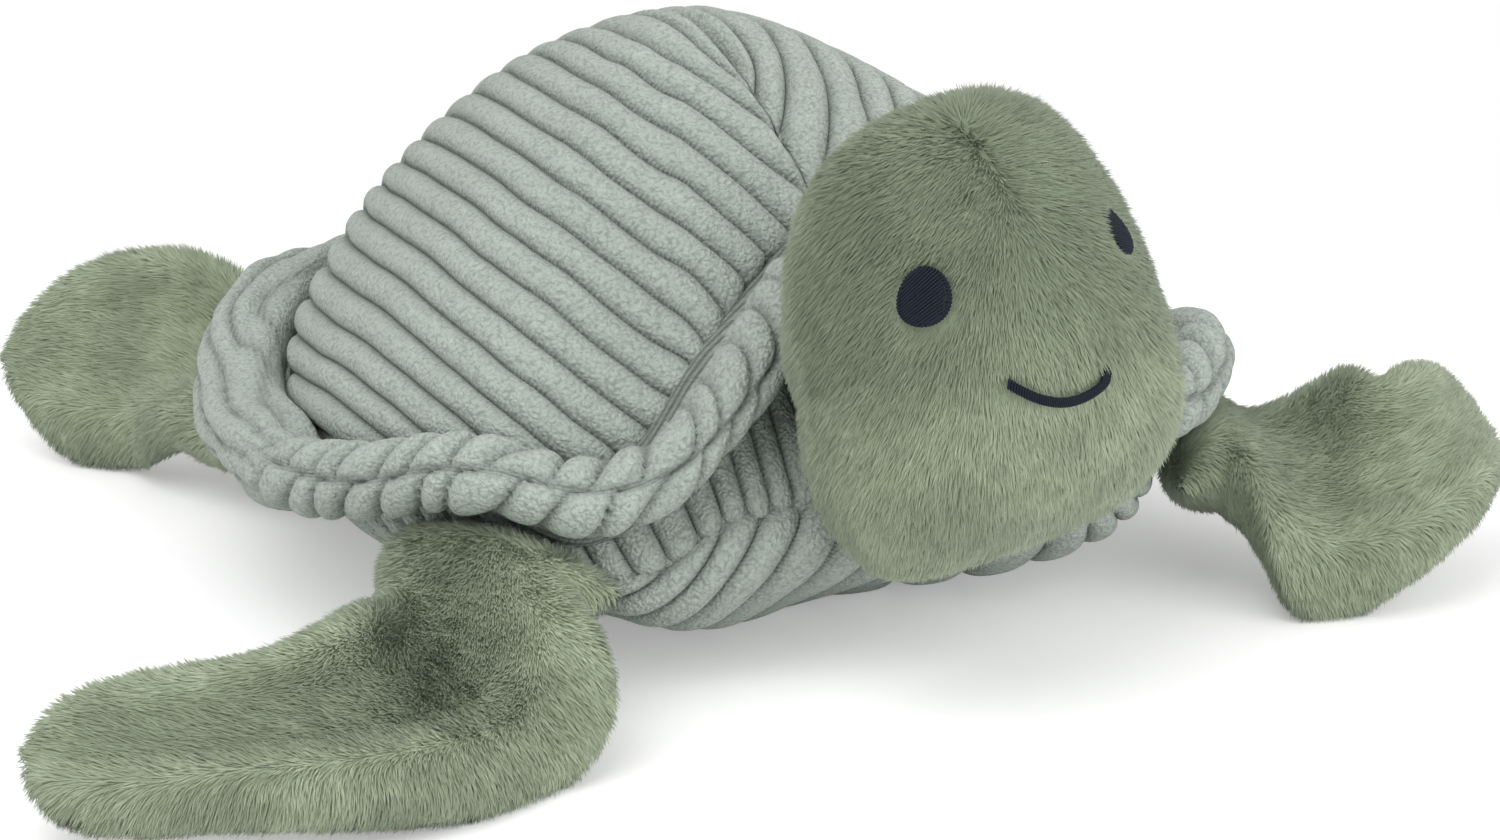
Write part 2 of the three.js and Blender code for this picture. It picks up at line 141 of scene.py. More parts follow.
class TurtleBodySizes(bpy.types.PropertyGroup):
    shell_radius: size_mm("Shell radius", "Centre line to the shell seam", 117)
    shell_top: size_mm("Shell top", "Floor to the crown", 145)
    crown_setback: size_mm("Crown setback", "Crown behind the middle of the shell", 20)
    body_setback: size_mm("Body setback", "Middle of the shell behind the rest patch", 27)
    collar_height: size_mm("Collar height", "Floor to the seam over the neck", 101)
    rest_radius: size_mm("Rest radius", "Flat patch of the belly", 18)
    chest_swell: size_mm("Chest swell", "How far the chest stands out", 40)
    roll_radius: size_mm("Roll radius", "Gathered roll round the shell", 8.8)


class TurtleClothSizes(bpy.types.PropertyGroup):
    wale_pitch: size_mm("Rib pitch", "Between two grooves of the corduroy", 9.2)
    wale_depth: size_mm("Rib depth", "Crown of a rib to its groove", 3.1)
    thickness: size_mm("Cloth thickness", "Backing and pile", 3)
    pile_length: size_mm("Pile length", "Length of the plush pile", 4.8)
    pile_width: size_mm("Pile width", "Width of a tuft at its root", 0.68)
    pile_lean: size_degrees("Pile lean", "Lean of the combed pile from upright", 64)
    pile_density: size_plain("Pile density", "Tufts on a square millimetre", 4.1)


def colour(name, about, rgb):
    """A colour given in screen values from 0 to 255, all of them above the dark end of the curve."""
    value = tuple(((c / 255 + 0.055) / 1.055) ** 2.4 for c in rgb)
    return bpy.props.FloatVectorProperty(
        name=name, description=about, subtype="COLOR", size=3, min=0, max=1, default=value
    )


class TurtleColours(bpy.types.PropertyGroup):
    corduroy: colour("Corduroy", "Crowns of the shell's ribs", (183, 194, 185))
    # The groove colour is painted shade in the grooves between the ribs
    groove: colour("Groove", "Backing between the ribs", (88, 99, 92))
    belly: colour("Belly", "Crowns of the belly's ribs", (184, 195, 186))
    fur_tip: colour("Pile tips", "Ends of the plush pile", (191, 203, 175))
    # The root colour is painted shade deep in the pile; random tuft tints also reach down to it
    fur_root: colour("Pile roots", "Depth of the plush pile", (119, 133, 110))
    thread: colour("Thread", "Embroidered eyes and mouth", (24, 31, 42))
    fibre: colour("Fibre", "Polyester filling", (238, 238, 234))


class TurtleStageSizes(bpy.types.PropertyGroup):
    distance: size_mm("Camera distance", "Camera to the aim point", 1000)
    azimuth: size_degrees("Azimuth", "Camera to the toy's right of its nose", 30)
    elevation: size_degrees("Elevation", "Camera above the floor", 17)
    aim: bpy.props.FloatVectorProperty(
        name="Aim point",
        description="Middle of the picture",
        default=(-0.029, -0.037, 0.059),
        subtype="TRANSLATION",
    )
    lens: size_plain("Lens", "Focal length in millimetres", 96)
    key_power: size_plain("Key lamp", "Power of the large lamp", 9)
    sky: size_plain("Room light", "Strength of the even light", 0.66)


# ---------------------------------------------------------------- forms in millimetres


def table(rows, x):
    """Smooth value at x from rows of [x, value]."""
    r = np.array(rows, float)
    last = len(r) - 1
    at = np.clip(x, r[0, 0], r[last, 0])
    i = np.clip(np.searchsorted(r[:, 0], at, side="right") - 1, 0, last - 1)
    before = np.maximum(np.arange(last + 1) - 1, 0)
    after = np.minimum(np.arange(last + 1) + 1, last)
    slope = (r[after, 1] - r[before, 1]) / (r[after, 0] - r[before, 0])
    span = r[i + 1, 0] - r[i, 0]
    t = (at - r[i, 0]) / span
    bend = (slope[i] * (1 - t) - slope[i + 1] * t) * span * t * (1 - t)
    return r[i, 1] + (r[i + 1, 1] - r[i, 1]) * t * t * (3 - 2 * t) + bend


def smooth(t):
    held = np.clip(t, 0, 1)
    return held * held * (3 - 2 * held)


def unit(v):
    return v / (np.linalg.norm(v, axis=-1, keepdims=True) + 1e-12)


def soft_noise(points, size, seed):
    """Smooth value noise from -1 to 1 with lumps of that size."""
    p = points / size + seed * 17.31
    cell = np.floor(p)
    f = p - cell
    f = f * f * (3 - 2 * f)
    total = np.zeros(p.shape[:-1])
    for dx in (0, 1):
        for dy in (0, 1):
            for dz in (0, 1):
                corner = cell + (dx, dy, dz)
                mixed = np.sin(corner @ np.array([12.9898, 78.233, 37.719])) * 43758.5453
                weight = (f[..., 0] if dx else 1 - f[..., 0]) * (f[..., 1] if dy else 1 - f[..., 1])
                total += (2 * (mixed - np.floor(mixed)) - 1) * weight * (f[..., 2] if dz else 1 - f[..., 2])
    return total


def way_out(turn):
    return np.array([-math.sin(turn), -math.cos(turn), 0])


def even_grid(rows, columns, down=1.0, across=1.0):
    """Two grids of even steps from 0, one down the rows and one across the columns."""
    return np.meshgrid(np.linspace(0, down, rows), np.linspace(0, across, columns), indexing="ij")


def spoke(turn, reach, back, height):
    """A place that far from a centre on the spine, turned from the nose to the toy's right."""
    return np.stack([-np.sin(turn) * reach, back - np.cos(turn) * reach, height], -1)


class Body:
    """The body's forms, from the sizes in the panel."""

    def __init__(self, sizes):
        mm = {name: getattr(sizes, name) / MM for name in sizes.__annotations__}
        self.radius, self.top, self.collar = mm["shell_radius"], mm["shell_top"], mm["collar_height"]
        self.crown_back, self.back = mm["crown_setback"], mm["body_setback"]
        self.rest, self.swell, self.roll = mm["rest_radius"], mm["chest_swell"], mm["roll_radius"]
        ahead = self.back - self.seam_radius(0.0) - HEAD_AHEAD - HEAD_BACK
        self.head_centre = np.array([0, ahead, HEAD_HEIGHT])

    def seam_radius(self, turn):
        return self.radius * table(SEAM_RADIUS, from_nose(turn))

    def seam_height(self, turn):
        return self.collar * table(SEAM_HEIGHT, from_nose(turn))

    def roll_line(self, turn):
        """The middle of the gathered roll, and the way out from the shell's seam."""
        step = 0.02
        before, after = (spoke(t, self.seam_radius(t), 0, 0 * t) for t in (turn - step, turn + step))
        along = unit(after - before)
        out = np.stack([along[:, 1], -along[:, 0], 0 * turn], -1)
        seam = spoke(turn, self.seam_radius(turn), self.back, self.seam_height(turn))
        out *= np.sign((out * (seam - (0, self.back, 0))).sum(-1, keepdims=True))
        rise = table(ROLL_RISE, from_nose(turn))[:, None] * UP
        return seam + out * table(ROLL_OUT, from_nose(turn))[:, None] + rise, out

    def dished(self, points, inset=0.0):
        """The chest, the collar and the roll make room for the round back of the head."""
        away = points - self.head_centre
        far = np.linalg.norm(away, axis=-1, keepdims=True)
        least = HEAD_SEAT + inset
        return np.where(far < least, self.head_centre + away / (far + 1e-9) * least, points)

    def dome(self, turn, share):
        rim = self.seam_height(turn)
        slope = (1 - DOME_EDGE) * share**DOME_POWER
        edge = DOME_EDGE * (1 - np.sqrt(np.maximum(0, 1 - share**6)))
        reach = self.seam_radius(turn) * share
        back = self.back + self.crown_back * (1 - share * share)
        z = rim + (self.top - rim) * (1 - slope - edge)
        return self.dished(spoke(turn, reach, back, z))

    def dome_above(self, x, y):
        """The dome's point over a place in the plan."""
        low, high = np.zeros_like(x), np.ones_like(x)
        for _ in range(HALVINGS):
            share = (low + high) / 2
            dy = y - self.back - self.crown_back * (1 - share * share)
            turn = np.arctan2(-x, -dy)
            outside = np.hypot(x, dy) / self.seam_radius(turn) > share
            low, high = np.where(outside, share, low), np.where(outside, high, share)
        return self.dome(turn, share)

    def bowl(self, turn, share):
        quarter = share * np.pi / 2
        bulge = self.swell * table(CHEST_SWELL, from_nose(turn)) * np.maximum(0, np.sin(share * np.pi)) ** 3
        reach = self.rest + (self.seam_radius(turn) - self.rest) * np.cos(quarter) + bulge
        z = self.seam_height(turn) * np.maximum(0, 1 - np.sin(quarter)) ** BOWL_POWER
        return self.dished(spoke(turn, reach, self.back * (1 - np.sin(quarter)), z))


def from_nose(turn):
    degrees = np.abs(np.degrees(turn)) % 360
    return np.minimum(degrees, 360 - degrees)


# A rib's section: how flat its crown is, how steep its sides, and where its rows of points lie
RIB_CROWN, RIB_SIDES = 2.3, 0.58
WALE_STEPS = np.array([0, 0.03, 0.08, 0.16, 0.27, 0.4, 0.5, 0.6, 0.73, 0.84, 0.92, 0.97])


def wale(phase):
    """Height of a rib: 0 in the groove, 1 on the crown."""
    f = np.abs(2 * (phase - np.floor(phase)) - 1)
    return np.maximum(0, 1 - f**RIB_CROWN) ** RIB_SIDES


def wale_levels(first, last):
    """Phases that lie close together at the grooves."""
    levels = (np.arange(math.floor(first), math.ceil(last) + 1)[:, None] + WALE_STEPS[None, :]).ravel()
    return np.concatenate([[first], levels[(levels > first + 0.02) & (levels < last - 0.02)], [last]])


def sheet_rows(levels, level_value, room, places, steps):
    """Runs one row of points along each level, from where the cloth starts to where it ends."""
    rows = []
    for level in levels:
        value = room(level_value(level), places)
        inside = np.nonzero(value > 0)[0]
        if len(inside) < 2:
            continue
        a, b = inside[0], inside[-1]
        start, end = places[a], places[b]
        if a > 0:
            start -= (places[a] - places[a - 1]) * value[a] / (value[a] - value[a - 1])
        if b + 1 < len(places):
            end += (places[b + 1] - places[b]) * value[b] / (value[b] - value[b + 1])
        rows.append((level, np.linspace(start, end, steps)))
    return np.array([r[0] for r in rows]), np.array([r[1] for r in rows])


def grid_normals(points, ring=False):
    """Normals of a grid of points, rows by columns."""
    if ring:
        padded = np.concatenate([points[:, -2:-1], points, points[:, 1:2]], 1)
        across = (padded[:, 2:] - padded[:, :-2])
    else:
        across = np.gradient(points, axis=1)
    return unit(np.cross(np.gradient(points, axis=0), across))


# ---------------------------------------------------------------- meshes


def make_piece(name, points, faces, material, values=None, normals=None):
    """A mesh from points in millimetres and faces of three or four corners."""
    mesh = bpy.data.meshes.new(name)
    faces = [np.asarray(f) for f in faces if len(f)]
    corners = np.concatenate([f.ravel() for f in faces])
    sizes = np.concatenate([np.full(len(f), f.shape[1]) for f in faces])
    mesh.vertices.add(len(points))
    mesh.vertices.foreach_set("co", (np.asarray(points, np.float64) * MM).astype(np.float32).ravel())
    mesh.loops.add(len(corners))
    mesh.loops.foreach_set("vertex_index", corners.astype(np.int32))
    mesh.polygons.add(len(sizes))
    mesh.polygons.foreach_set("loop_start", np.concatenate([[0], np.cumsum(sizes)[:-1]]).astype(np.int32))
    mesh.update(calc_edges=True)
    mesh.polygons.foreach_set("use_smooth", np.ones(len(sizes), bool))
    for label, data in (values or {}).items():
        attribute = mesh.attributes.new(label, "FLOAT", "POINT").data
        attribute.foreach_set("value", np.asarray(data, np.float32).ravel())
    mesh.validate()
    if normals is not None:
        mesh.normals_split_custom_set_from_vertices(normals.astype(np.float32).tolist())
    piece = bpy.data.objects.new(name, mesh)
    bpy.context.scene.collection.objects.link(piece)
    mesh.materials.append(material)
    return piece


def ring_faces(rows, columns):
    """Faces of a tube that closes on itself both ways."""
    index = np.arange(rows * columns).reshape(rows, columns)
    nxt = np.roll(index, -1, 0)
    return np.stack([index, np.roll(index, -1, 1), np.roll(nxt, -1, 1), nxt], -1).reshape(-1, 4)


def grid_faces(rows, columns, start):
    i, j = np.meshgrid(np.arange(rows - 1), np.arange(columns - 1), indexing="ij")
    a = start + i * columns + j
    return np.stack([a, a + columns, a + columns + 1, a + 1], -1).reshape(-1, 4)


def cloth_piece(name, outer, inner, turned, values, material, ring=False, normals=None, extra=None):
    """Cloth with a face and a back, closed at its edges. In a ring the last column is the first again."""
    rows, columns = outer.shape[:2]
    if ring:
        outer, inner = outer[:, :-1], inner[:, :-1]
        values = {k: v[:, :-1] for k, v in values.items()}
        normals = None if normals is None else normals[:, :-1]
        columns -= 1
    count = rows * columns
    index = np.arange(count).reshape(rows, columns)
    wide = np.concatenate([index, index[:, :1]], 1) if ring else index
    front = np.stack([wide[:-1, :-1], wide[1:, :-1], wide[1:, 1:], wide[:-1, 1:]], -1).reshape(-1, 4)
    edges = [wide[0], wide[-1][::-1]]
    if not ring:
        edges += [index[:, 0][::-1], index[:, -1]]
    rim = np.concatenate([np.stack([e[:-1], e[1:], e[1:] + count, e[:-1] + count], -1) for e in edges])
    faces = np.concatenate([front, front[:, ::-1] + count, rim])
    if turned:
        faces = faces[:, ::-1]
    points = np.concatenate([outer.reshape(-1, 3), inner.reshape(-1, 3)])
    data = {k: np.concatenate([v.ravel(), np.zeros(count)]) for k, v in values.items()}
    parts, vertex_normals = [faces], None
    if extra is not None:
        tuft_points, tuft_faces, tuft_values, tuft_normals = extra
        parts.append(tuft_faces + len(points))
        vertex_normals = np.concatenate([normals.reshape(-1, 3), -normals.reshape(-1, 3), tuft_normals])
        points = np.concatenate([points, tuft_points])
        data = {k: np.concatenate([data[k], tuft_values[k]]) for k in data}
    return make_piece(name, points, parts, material, data, vertex_normals)


def choose(objects):
    """Selects these objects and makes the first the active one."""
    bpy.ops.object.select_all(action="DESELECT")
    for chosen in objects:
        chosen.select_set(True)
    bpy.context.view_layer.objects.active = objects[0]


def finish_piece(piece, body, nodes):
    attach(piece, body)
    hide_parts(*nodes)


# ---------------------------------------------------------------- finishes


def node(tree, kind, inputs=None, **settings):
    """Adds a node with its settings, and its inputs as values or as other nodes' outputs."""
    made = tree.nodes.new(kind)
    for key, value in settings.items():
        setattr(made, key, value)
    for where, value in (inputs or {}).items():
        if isinstance(value, bpy.types.NodeSocket):
            tree.links.new(value, made.inputs[where])
        else:
            made.inputs[where].default_value = value
    return made.outputs


def maths(tree, operation, *values):
    return node(tree, "ShaderNodeMath", dict(enumerate(values)), operation=operation)[0]


def ranged(tree, value, *limits, **settings):
    return node(tree, "ShaderNodeMapRange", dict(enumerate((value, *limits))), **settings)[0]


def mix(tree, factor, first, second):
    return node(tree, "ShaderNodeMix", {0: factor, 6: first, 7: second}, data_type="RGBA")[2]


def noise(tree, place, scale, detail, **more):
    inputs = {"Vector": place, "Scale": scale, "Detail": detail, **more}
    return node(tree, "ShaderNodeTexNoise", inputs)


def object_place(tree):
    return node(tree, "ShaderNodeTexCoord")["Object"]


def measure(tree, label):
    return node(tree, "ShaderNodeAttribute", attribute_name=label)["Fac"]


def new_finish(name, roughness, specular=0.5, sheen=0.0, sheen_roughness=0.5):
    """A material, its nodes and its shader's inputs."""
    material = bpy.data.materials.new(name)
    material.use_nodes = True
    inputs = material.node_tree.nodes["Principled BSDF"].inputs
    inputs["Roughness"].default_value = roughness
    inputs["Specular IOR Level"].default_value = specular
    inputs["Sheen Weight"].default_value = sheen
    inputs["Sheen Roughness"].default_value = sheen_roughness
    return material, material.node_tree, inputs


def dress(tree, inputs, tone, height=None, strength=0.0, distance=0.0):
    """Links the colour, and the relief where there is one."""
    tree.links.new(tone, inputs["Base Color"])
    if height:
        relief = {"Height": height, "Strength": strength, "Distance": distance}
        tree.links.new(node(tree, "ShaderNodeBump", relief)[0], inputs["Normal"])


def nap_group():
    """Short curly pile: little clumps with painted shade in the pits between them."""
    name = "Cloth nap"
    if name in bpy.data.node_groups:
        return bpy.data.node_groups[name]
    tree = bpy.data.node_groups.new(name, "ShaderNodeTree")
    inlet = tree.interface.new_socket(name="Clump size", in_out="INPUT", socket_type="NodeSocketFloat")
    inlet.default_value = 1.05
    for label in ("Height", "Painted pit shade", "Cloud"):
        tree.interface.new_socket(name=label, in_out="OUTPUT", socket_type="NodeSocketFloat")
    size = node(tree, "NodeGroupInput")[0]
    end = tree.nodes.new("NodeGroupOutput").inputs
    place = object_place(tree)
    warp = {0: noise(tree, place, 420.0, 2.0)["Color"], 1: (0.0016,) * 3, 2: place}
    warped = node(tree, "ShaderNodeVectorMath", warp, operation="MULTIPLY_ADD")[0]
    clumps = {"Vector": warped, "Scale": maths(tree, "DIVIDE", 1000.0, size), "Smoothness": 0.6}
    clump = node(tree, "ShaderNodeTexVoronoi", clumps, feature="SMOOTH_F1")["Distance"]
    bumps = maths(tree, "MULTIPLY_ADD", clump, -1.1, 1.0)
    height = maths(tree, "MULTIPLY_ADD", noise(tree, warped, 1900.0, 3.0, Roughness=0.65)["Fac"], 0.7, bumps)
    tree.links.new(height, end["Height"])
    # Painted shade in the deepest pits between the clumps
    tree.links.new(ranged(tree, height, 0.5, 0.86, 1.0, 0.0), end["Painted pit shade"])
    tree.links.new(noise(tree, place, 38.0, 3.0)["Fac"], end["Cloud"])
    return tree


def rgba(value, share=1.0):
    return tuple(c * share for c in value) + (1.0,)


def corduroy_finish(name, crown, groove):
    """Ribbed cloth: pebbly crowns, and grooves in painted shade with ticks of the backing across them."""
    material, tree, inputs = new_finish(name, 0.95, 0.15, 0.25, 0.6)
    nap = node(tree, "ShaderNodeGroup", node_tree=nap_group())
    wave = maths(tree, "SINE", maths(tree, "MULTIPLY", measure(tree, "along"), 2 * math.pi / TICK_PITCH))
    # Painted shade in the grooves, broken by ticks of the backing's weave
    depth = maths(tree, "MULTIPLY", measure(tree, "groove"), ranged(tree, wave, -1.0, 1.0, 0.55, 1.0))
    clouded = mix(tree, nap["Cloud"], rgba(crown, 0.93), rgba(crown, 1.17))
    # Painted shade in the nap's pits darkens the crowns
    pit_shaded = mix(tree, maths(tree, "MULTIPLY", nap["Painted pit shade"], 0.5), clouded, rgba(crown, 0.42))
    dress(tree, inputs, mix(tree, depth, pit_shaded, rgba(groove)), nap["Height"], 0.85, 0.0012)
    return material


def pile_finish(name, tip, root):
    """Plush pile: painted shade towards the roots, in hollows and over the head's top; each tuft a little
    different.
    """
    material, tree, inputs = new_finish(name, 0.85, 0.2, 0.15, 0.5)
    # Painted shade deep in the pile: the pile measure runs from the root colour to the tip colour
    base = mix(tree, measure(tree, "pile"), rgba(root), rgba(tip))
    tuft = mix(tree, measure(tree, "tint"), rgba(root, 0.9), rgba(tip, 1.12))
    cloud = ranged(tree, noise(tree, object_place(tree), 45.0, 2.0)["Fac"], 0.3, 0.7, 0.84, 1.14)
    tone = {0: mix(tree, 0.55, base, tuft), 1: cloud}
    clouded = node(tree, "ShaderNodeVectorMath", tone, operation="MULTIPLY")[0]
    # Painted shade: the pile darkens towards the root colour where the painted shade measure is high
    dress(tree, inputs, mix(tree, measure(tree, "painted_shade"), clouded, rgba(root, 0.85)))
    return material


def thread_finish(name, tone):
    """Stitching thread with its twist."""
    material, tree, inputs = new_finish(name, 0.7, 0.2)
    twist = noise(tree, object_place(tree), 1600.0, 2.0)["Fac"]
    dress(tree, inputs, mix(tree, twist, rgba(tone, 0.6), rgba(tone, 1.5)), twist, 0.4, 0.0003)
    return material


def fibre_finish(name, tone):
    """Loose polyester filling."""
    material, tree, inputs = new_finish(name, 0.9)
    wool = noise(tree, object_place(tree), 260.0, 6.0, Distortion=1.5)["Fac"]
    dress(tree, inputs, mix(tree, wool, rgba(tone, 0.75), rgba(tone)), wool, 0.8, 0.002)
    return material


def finish(kind):
    """The material of that kind, made when it is first asked for."""
    look = bpy.context.scene.turtle_colours
    name, make, *tones = {
        "shell": ("Shell corduroy", corduroy_finish, look.corduroy, look.groove),
        "belly": ("Belly corduroy", corduroy_finish, look.belly, look.groove),
        "pile": ("Plush pile", pile_finish, look.fur_tip, look.fur_root),
        "thread": ("Navy thread", thread_finish, look.thread),
        "fibre": ("Fibre filling", fibre_finish, look.fibre),
    }[kind]
    return bpy.data.materials.get(name) or make(name, *tones)


# ---------------------------------------------------------------- corduroy


# Grooves of the shell, in millimetres from the spine. Each row of shifts starts with a groove and says how
# far it moves outward at the rib places, which lie along the spine.
GROOVES = [
    0, 5, 13.8, 24.7, 34.5, 43.8, 52.8, 61.1, 68.9, 75.5, 81.6, 87.5, 93.2, 98.8, 104.3, 109, 112.9, 117,
]
RIB_PLACES = [-70, -58, -48, -38, -25, -10, 5, 20, 40, 60, 80, 130]
RIB_SHIFTS = [
    [0, -62, -53, -46, -39, -29, -18, -7, 0, 0, 0, 0, 0],
    [13.8, -62, -53, -46, -39, -28.5, -18.4, -7.8, 0.1, 5.2, 4.3, 1.3, -4],
    [24.7, -70, -60, -51, -42, -28.2, -15, -5.6, 0.5, 3.7, 1.8, -2, -9],
    [34.5, -68, -56, -47, -36.1, -21.8, -11.1, -4.5, 1.2, 2.6, 0.2, -4.3, -14],
    [43.8, -60, -50, -40.5, -29.6, -17.2, -9.6, -3.4, 1.4, 1.7, -0.4, -5.8, -17],
    [52.8, -50, -40.5, -32.1, -24.5, -15.1, -9.1, -2.2, 0.8, 0.6, -1.6, -6.5, -20],
    [61.1, -41.6, -34.2, -26.9, -21.6, -15, -8, -1.4, 0.1, -0.4, -2.8, -7.1, -22],
    [68.9, -38.3, -31.6, -24.8, -20.1, -14.4, -5.8, -1.1, -0.4, -1.2, -3.4, -7.6, -24],
    [75.5, -42, -34, -25.7, -19.5, -11.6, -3.5, -0.7, -0.3, -1.1, -3.6, -7.8, -25],
    [81.6, -45, -35, -24.3, -17.2, -8.3, -1.9, -0.2, 0, -1, -3.6, -7.8, -26],
    [87.5, -43, -33, -22.3, -14.2, -5.4, -0.9, 0.1, 0.2, -0.9, -3.5, -7.8, -27],
    [93.2, -40, -30, -20, -11, -3.7, -0.5, 0.3, 0.4, -0.8, -3.4, -7.8, -27],
    [98.8, -36, -26, -17.4, -8.6, -3, -0.4, 0.3, 0.3, -0.8, -3.4, -7.6, -27],
    [104.3, -32, -22, -14.2, -6.4, -3.2, -1, 0, 0.1, -0.8, -3.4, -7.7, -27],
    [112.9, -27, -18, -11.5, -5.7, -3, -1.5, -0.3, -0.1, -1, -3.4, -7.5, -26],
]


def shell_plan(level, y):
    """How far a rib of that level stands from the spine, at a place along it."""
    levels = [row[0] for row in RIB_SHIFTS]
    shares = np.eye(len(levels))
    shift = 0
    for own, row in zip(shares, RIB_SHIFTS):
        shift = shift + np.interp(level, levels, own) * table(list(zip(RIB_PLACES, row[1:])), y)
    return level + shift


# How far the ribs stand above their form, and the depth and width of the hem that turns in at the seams
SHELL_PROUD, SHELL_HEM, SHELL_HEM_WIDTH = 0.5, 2.6, 3.4
BAND_PROUD, BAND_HEM, BAND_HEM_WIDTH = 0.3, 2.0, 3.5
SPINE_GAP, RIM_GAP = 0.15, 0.05
SPINE_ENDS = (-95, 160)
BELLY_REACH = 122.0
GROOVE_POWER = 1.2


def sew(name, form, back, kind, side=-1, turned=True):
    """Corduroy over a form: its face, as high as the lift says, and its back, as deep as given."""
    points, normals, lift, rib, along = form
    outer = points + normals * lift[..., None]
    outer[..., 2] = np.maximum(outer[..., 2], FLOOR_GAP)
    inner = points - normals * back
    if side > 0:
        outer, inner = outer * (-1, 1, 1), inner * (-1, 1, 1)
    # The groove measure places the painted shade of the grooves
    values = {"groove": (1 - rib) ** GROOVE_POWER, "along": along}
    return cloth_piece(name, outer, inner, turned, values, finish(kind))


class TURTLE_OT_shell(bpy.types.Operator):
    """Sews the two corduroy halves of the shell"""

    bl_idname = "turtle.shell"
    bl_label = "Shell"

    def execute(self, context):
        body = Body(context.scene.turtle_body)
        cloth = context.scene.turtle_cloth
        depth = cloth.wale_depth / MM
        section = np.linspace(0.2, body.radius + 1.6, 300)
        phase_of = table([[at, k] for k, at in enumerate(GROOVES)], section)

        def room(level, y):
            x = shell_plan(level, y)
            turn = np.arctan2(x, body.back - y)
            return np.minimum(x - SPINE_GAP, body.seam_radius(turn) - np.hypot(x, y - body.back) - RIM_GAP)

        levels = wale_levels(phase_of[0], phase_of[-1])
        places = np.linspace(*SPINE_ENDS, 1021)
        phases, along = sheet_rows(levels, lambda p: np.interp(p, phase_of, section), room, places, 96)
        rib = wale(phases)[:, None] + 0 * along
        level = np.interp(phases, phase_of, section)[:, None] + 0 * along
        x = np.maximum(SPINE_GAP, shell_plan(level, along))
        edge = np.minimum(x, room(level, along))
        flat = np.stack([x, along, 0 * x], -1)
        step = 0.05
        towards = np.where(along > body.back, -step, step)
        for side_name, side in SIDES.items():
            wobble = 0.2 * np.sin((along + 0.5 * x) / 13.0 + side)
            wobble += 0.12 * np.sin((along - 0.3 * x) / 6.1 + 2 * side)
            waved = np.clip(x + wobble * smooth(edge / 9), SPINE_GAP, None)
            points = body.dome_above(-waved, along)
            east = body.dome_above(-np.maximum(waved - step, 0), along) - points
            north = body.dome_above(-waved, along + towards) - points
            normals = unit(np.cross(north, east) * np.sign(towards)[..., None])
            normals *= np.sign(normals[..., 2:3] + 1e-9)
            lump = 0.6 * soft_noise(flat + side * 300, 34.0, 3)
            lump += 0.35 * soft_noise(flat + side * 100, 11.0, 5)
            hem = SHELL_HEM * (1 - smooth(edge / SHELL_HEM_WIDTH))
            lift = depth * (rib - 1) + SHELL_PROUD + lump * smooth(edge / 8) - hem
            form = (points, normals, lift, rib, along + 0 * x)
            piece = sew(f"shell_cloth_{side_name}", form, cloth.thickness / MM + 1.0, "shell", side, side < 0)
            finish_piece(piece, "body", [f"shell_cover_{side_name}"])
        return {"FINISHED"}


class TURTLE_OT_sides(bpy.types.Operator):
    """Sews the two side bands below the shell"""

    bl_idname = "turtle.sides"
    bl_label = "Side bands"

    def execute(self, context):
        body = Body(context.scene.turtle_body)
        cloth = context.scene.turtle_cloth
        turns = np.linspace(0, np.pi, 600)
        mid = body.bowl(turns, np.full(len(turns), 0.2))
        run = np.concatenate([[0], np.cumsum(np.linalg.norm(np.diff(mid, axis=0), axis=1))])
        phases = wale_levels(0.02, run[-1] / (cloth.wale_pitch / MM))
        down = np.linspace(0, 1, 26)[None, :]
        turn = np.interp(phases * cloth.wale_pitch / MM, run, turns)[:, None] + 0 * down
        lean = 0.05 * smooth((np.pi * 0.6 - turn) / 1.2)
        turn = np.clip(turn - lean * down * table(BELLY_SEAM, from_nose(turn)) / 0.35, 0.001, np.pi - 0.001)
        last = table(BELLY_SEAM, from_nose(turn)) + 0.012
        share = last * down
        points = body.bowl(turn, share)
        normals = outward(points, grid_normals(points), np.array([0, 30, 60.0]))
        rib = wale(phases)[:, None] + 0 * turn
        edge = np.minimum(np.minimum(share, last - share) * 90, 40 * np.minimum(turn, np.pi - turn))
        for side_name, side in SIDES.items():
            hem = BAND_HEM * (1 - smooth(edge / BAND_HEM_WIDTH))
            lift = cloth.wale_depth / MM * (rib - 1) + BAND_PROUD - hem
            lift += 0.6 * soft_noise(points + side * 90, 24.0, 9)
            form = (points, normals, lift, rib, share * 110)
            piece = sew(f"side_cloth_{side_name}", form, cloth.thickness / MM, "belly", side, side > 0)
            finish_piece(piece, "body", [f"side_band_{side_name}"])
        return {"FINISHED"}


def outward(points, normals, centre):
    """Normals turned to point away from a centre."""
    return normals * np.sign(((points - centre) * normals).sum(-1, keepdims=True) + 1e-12)


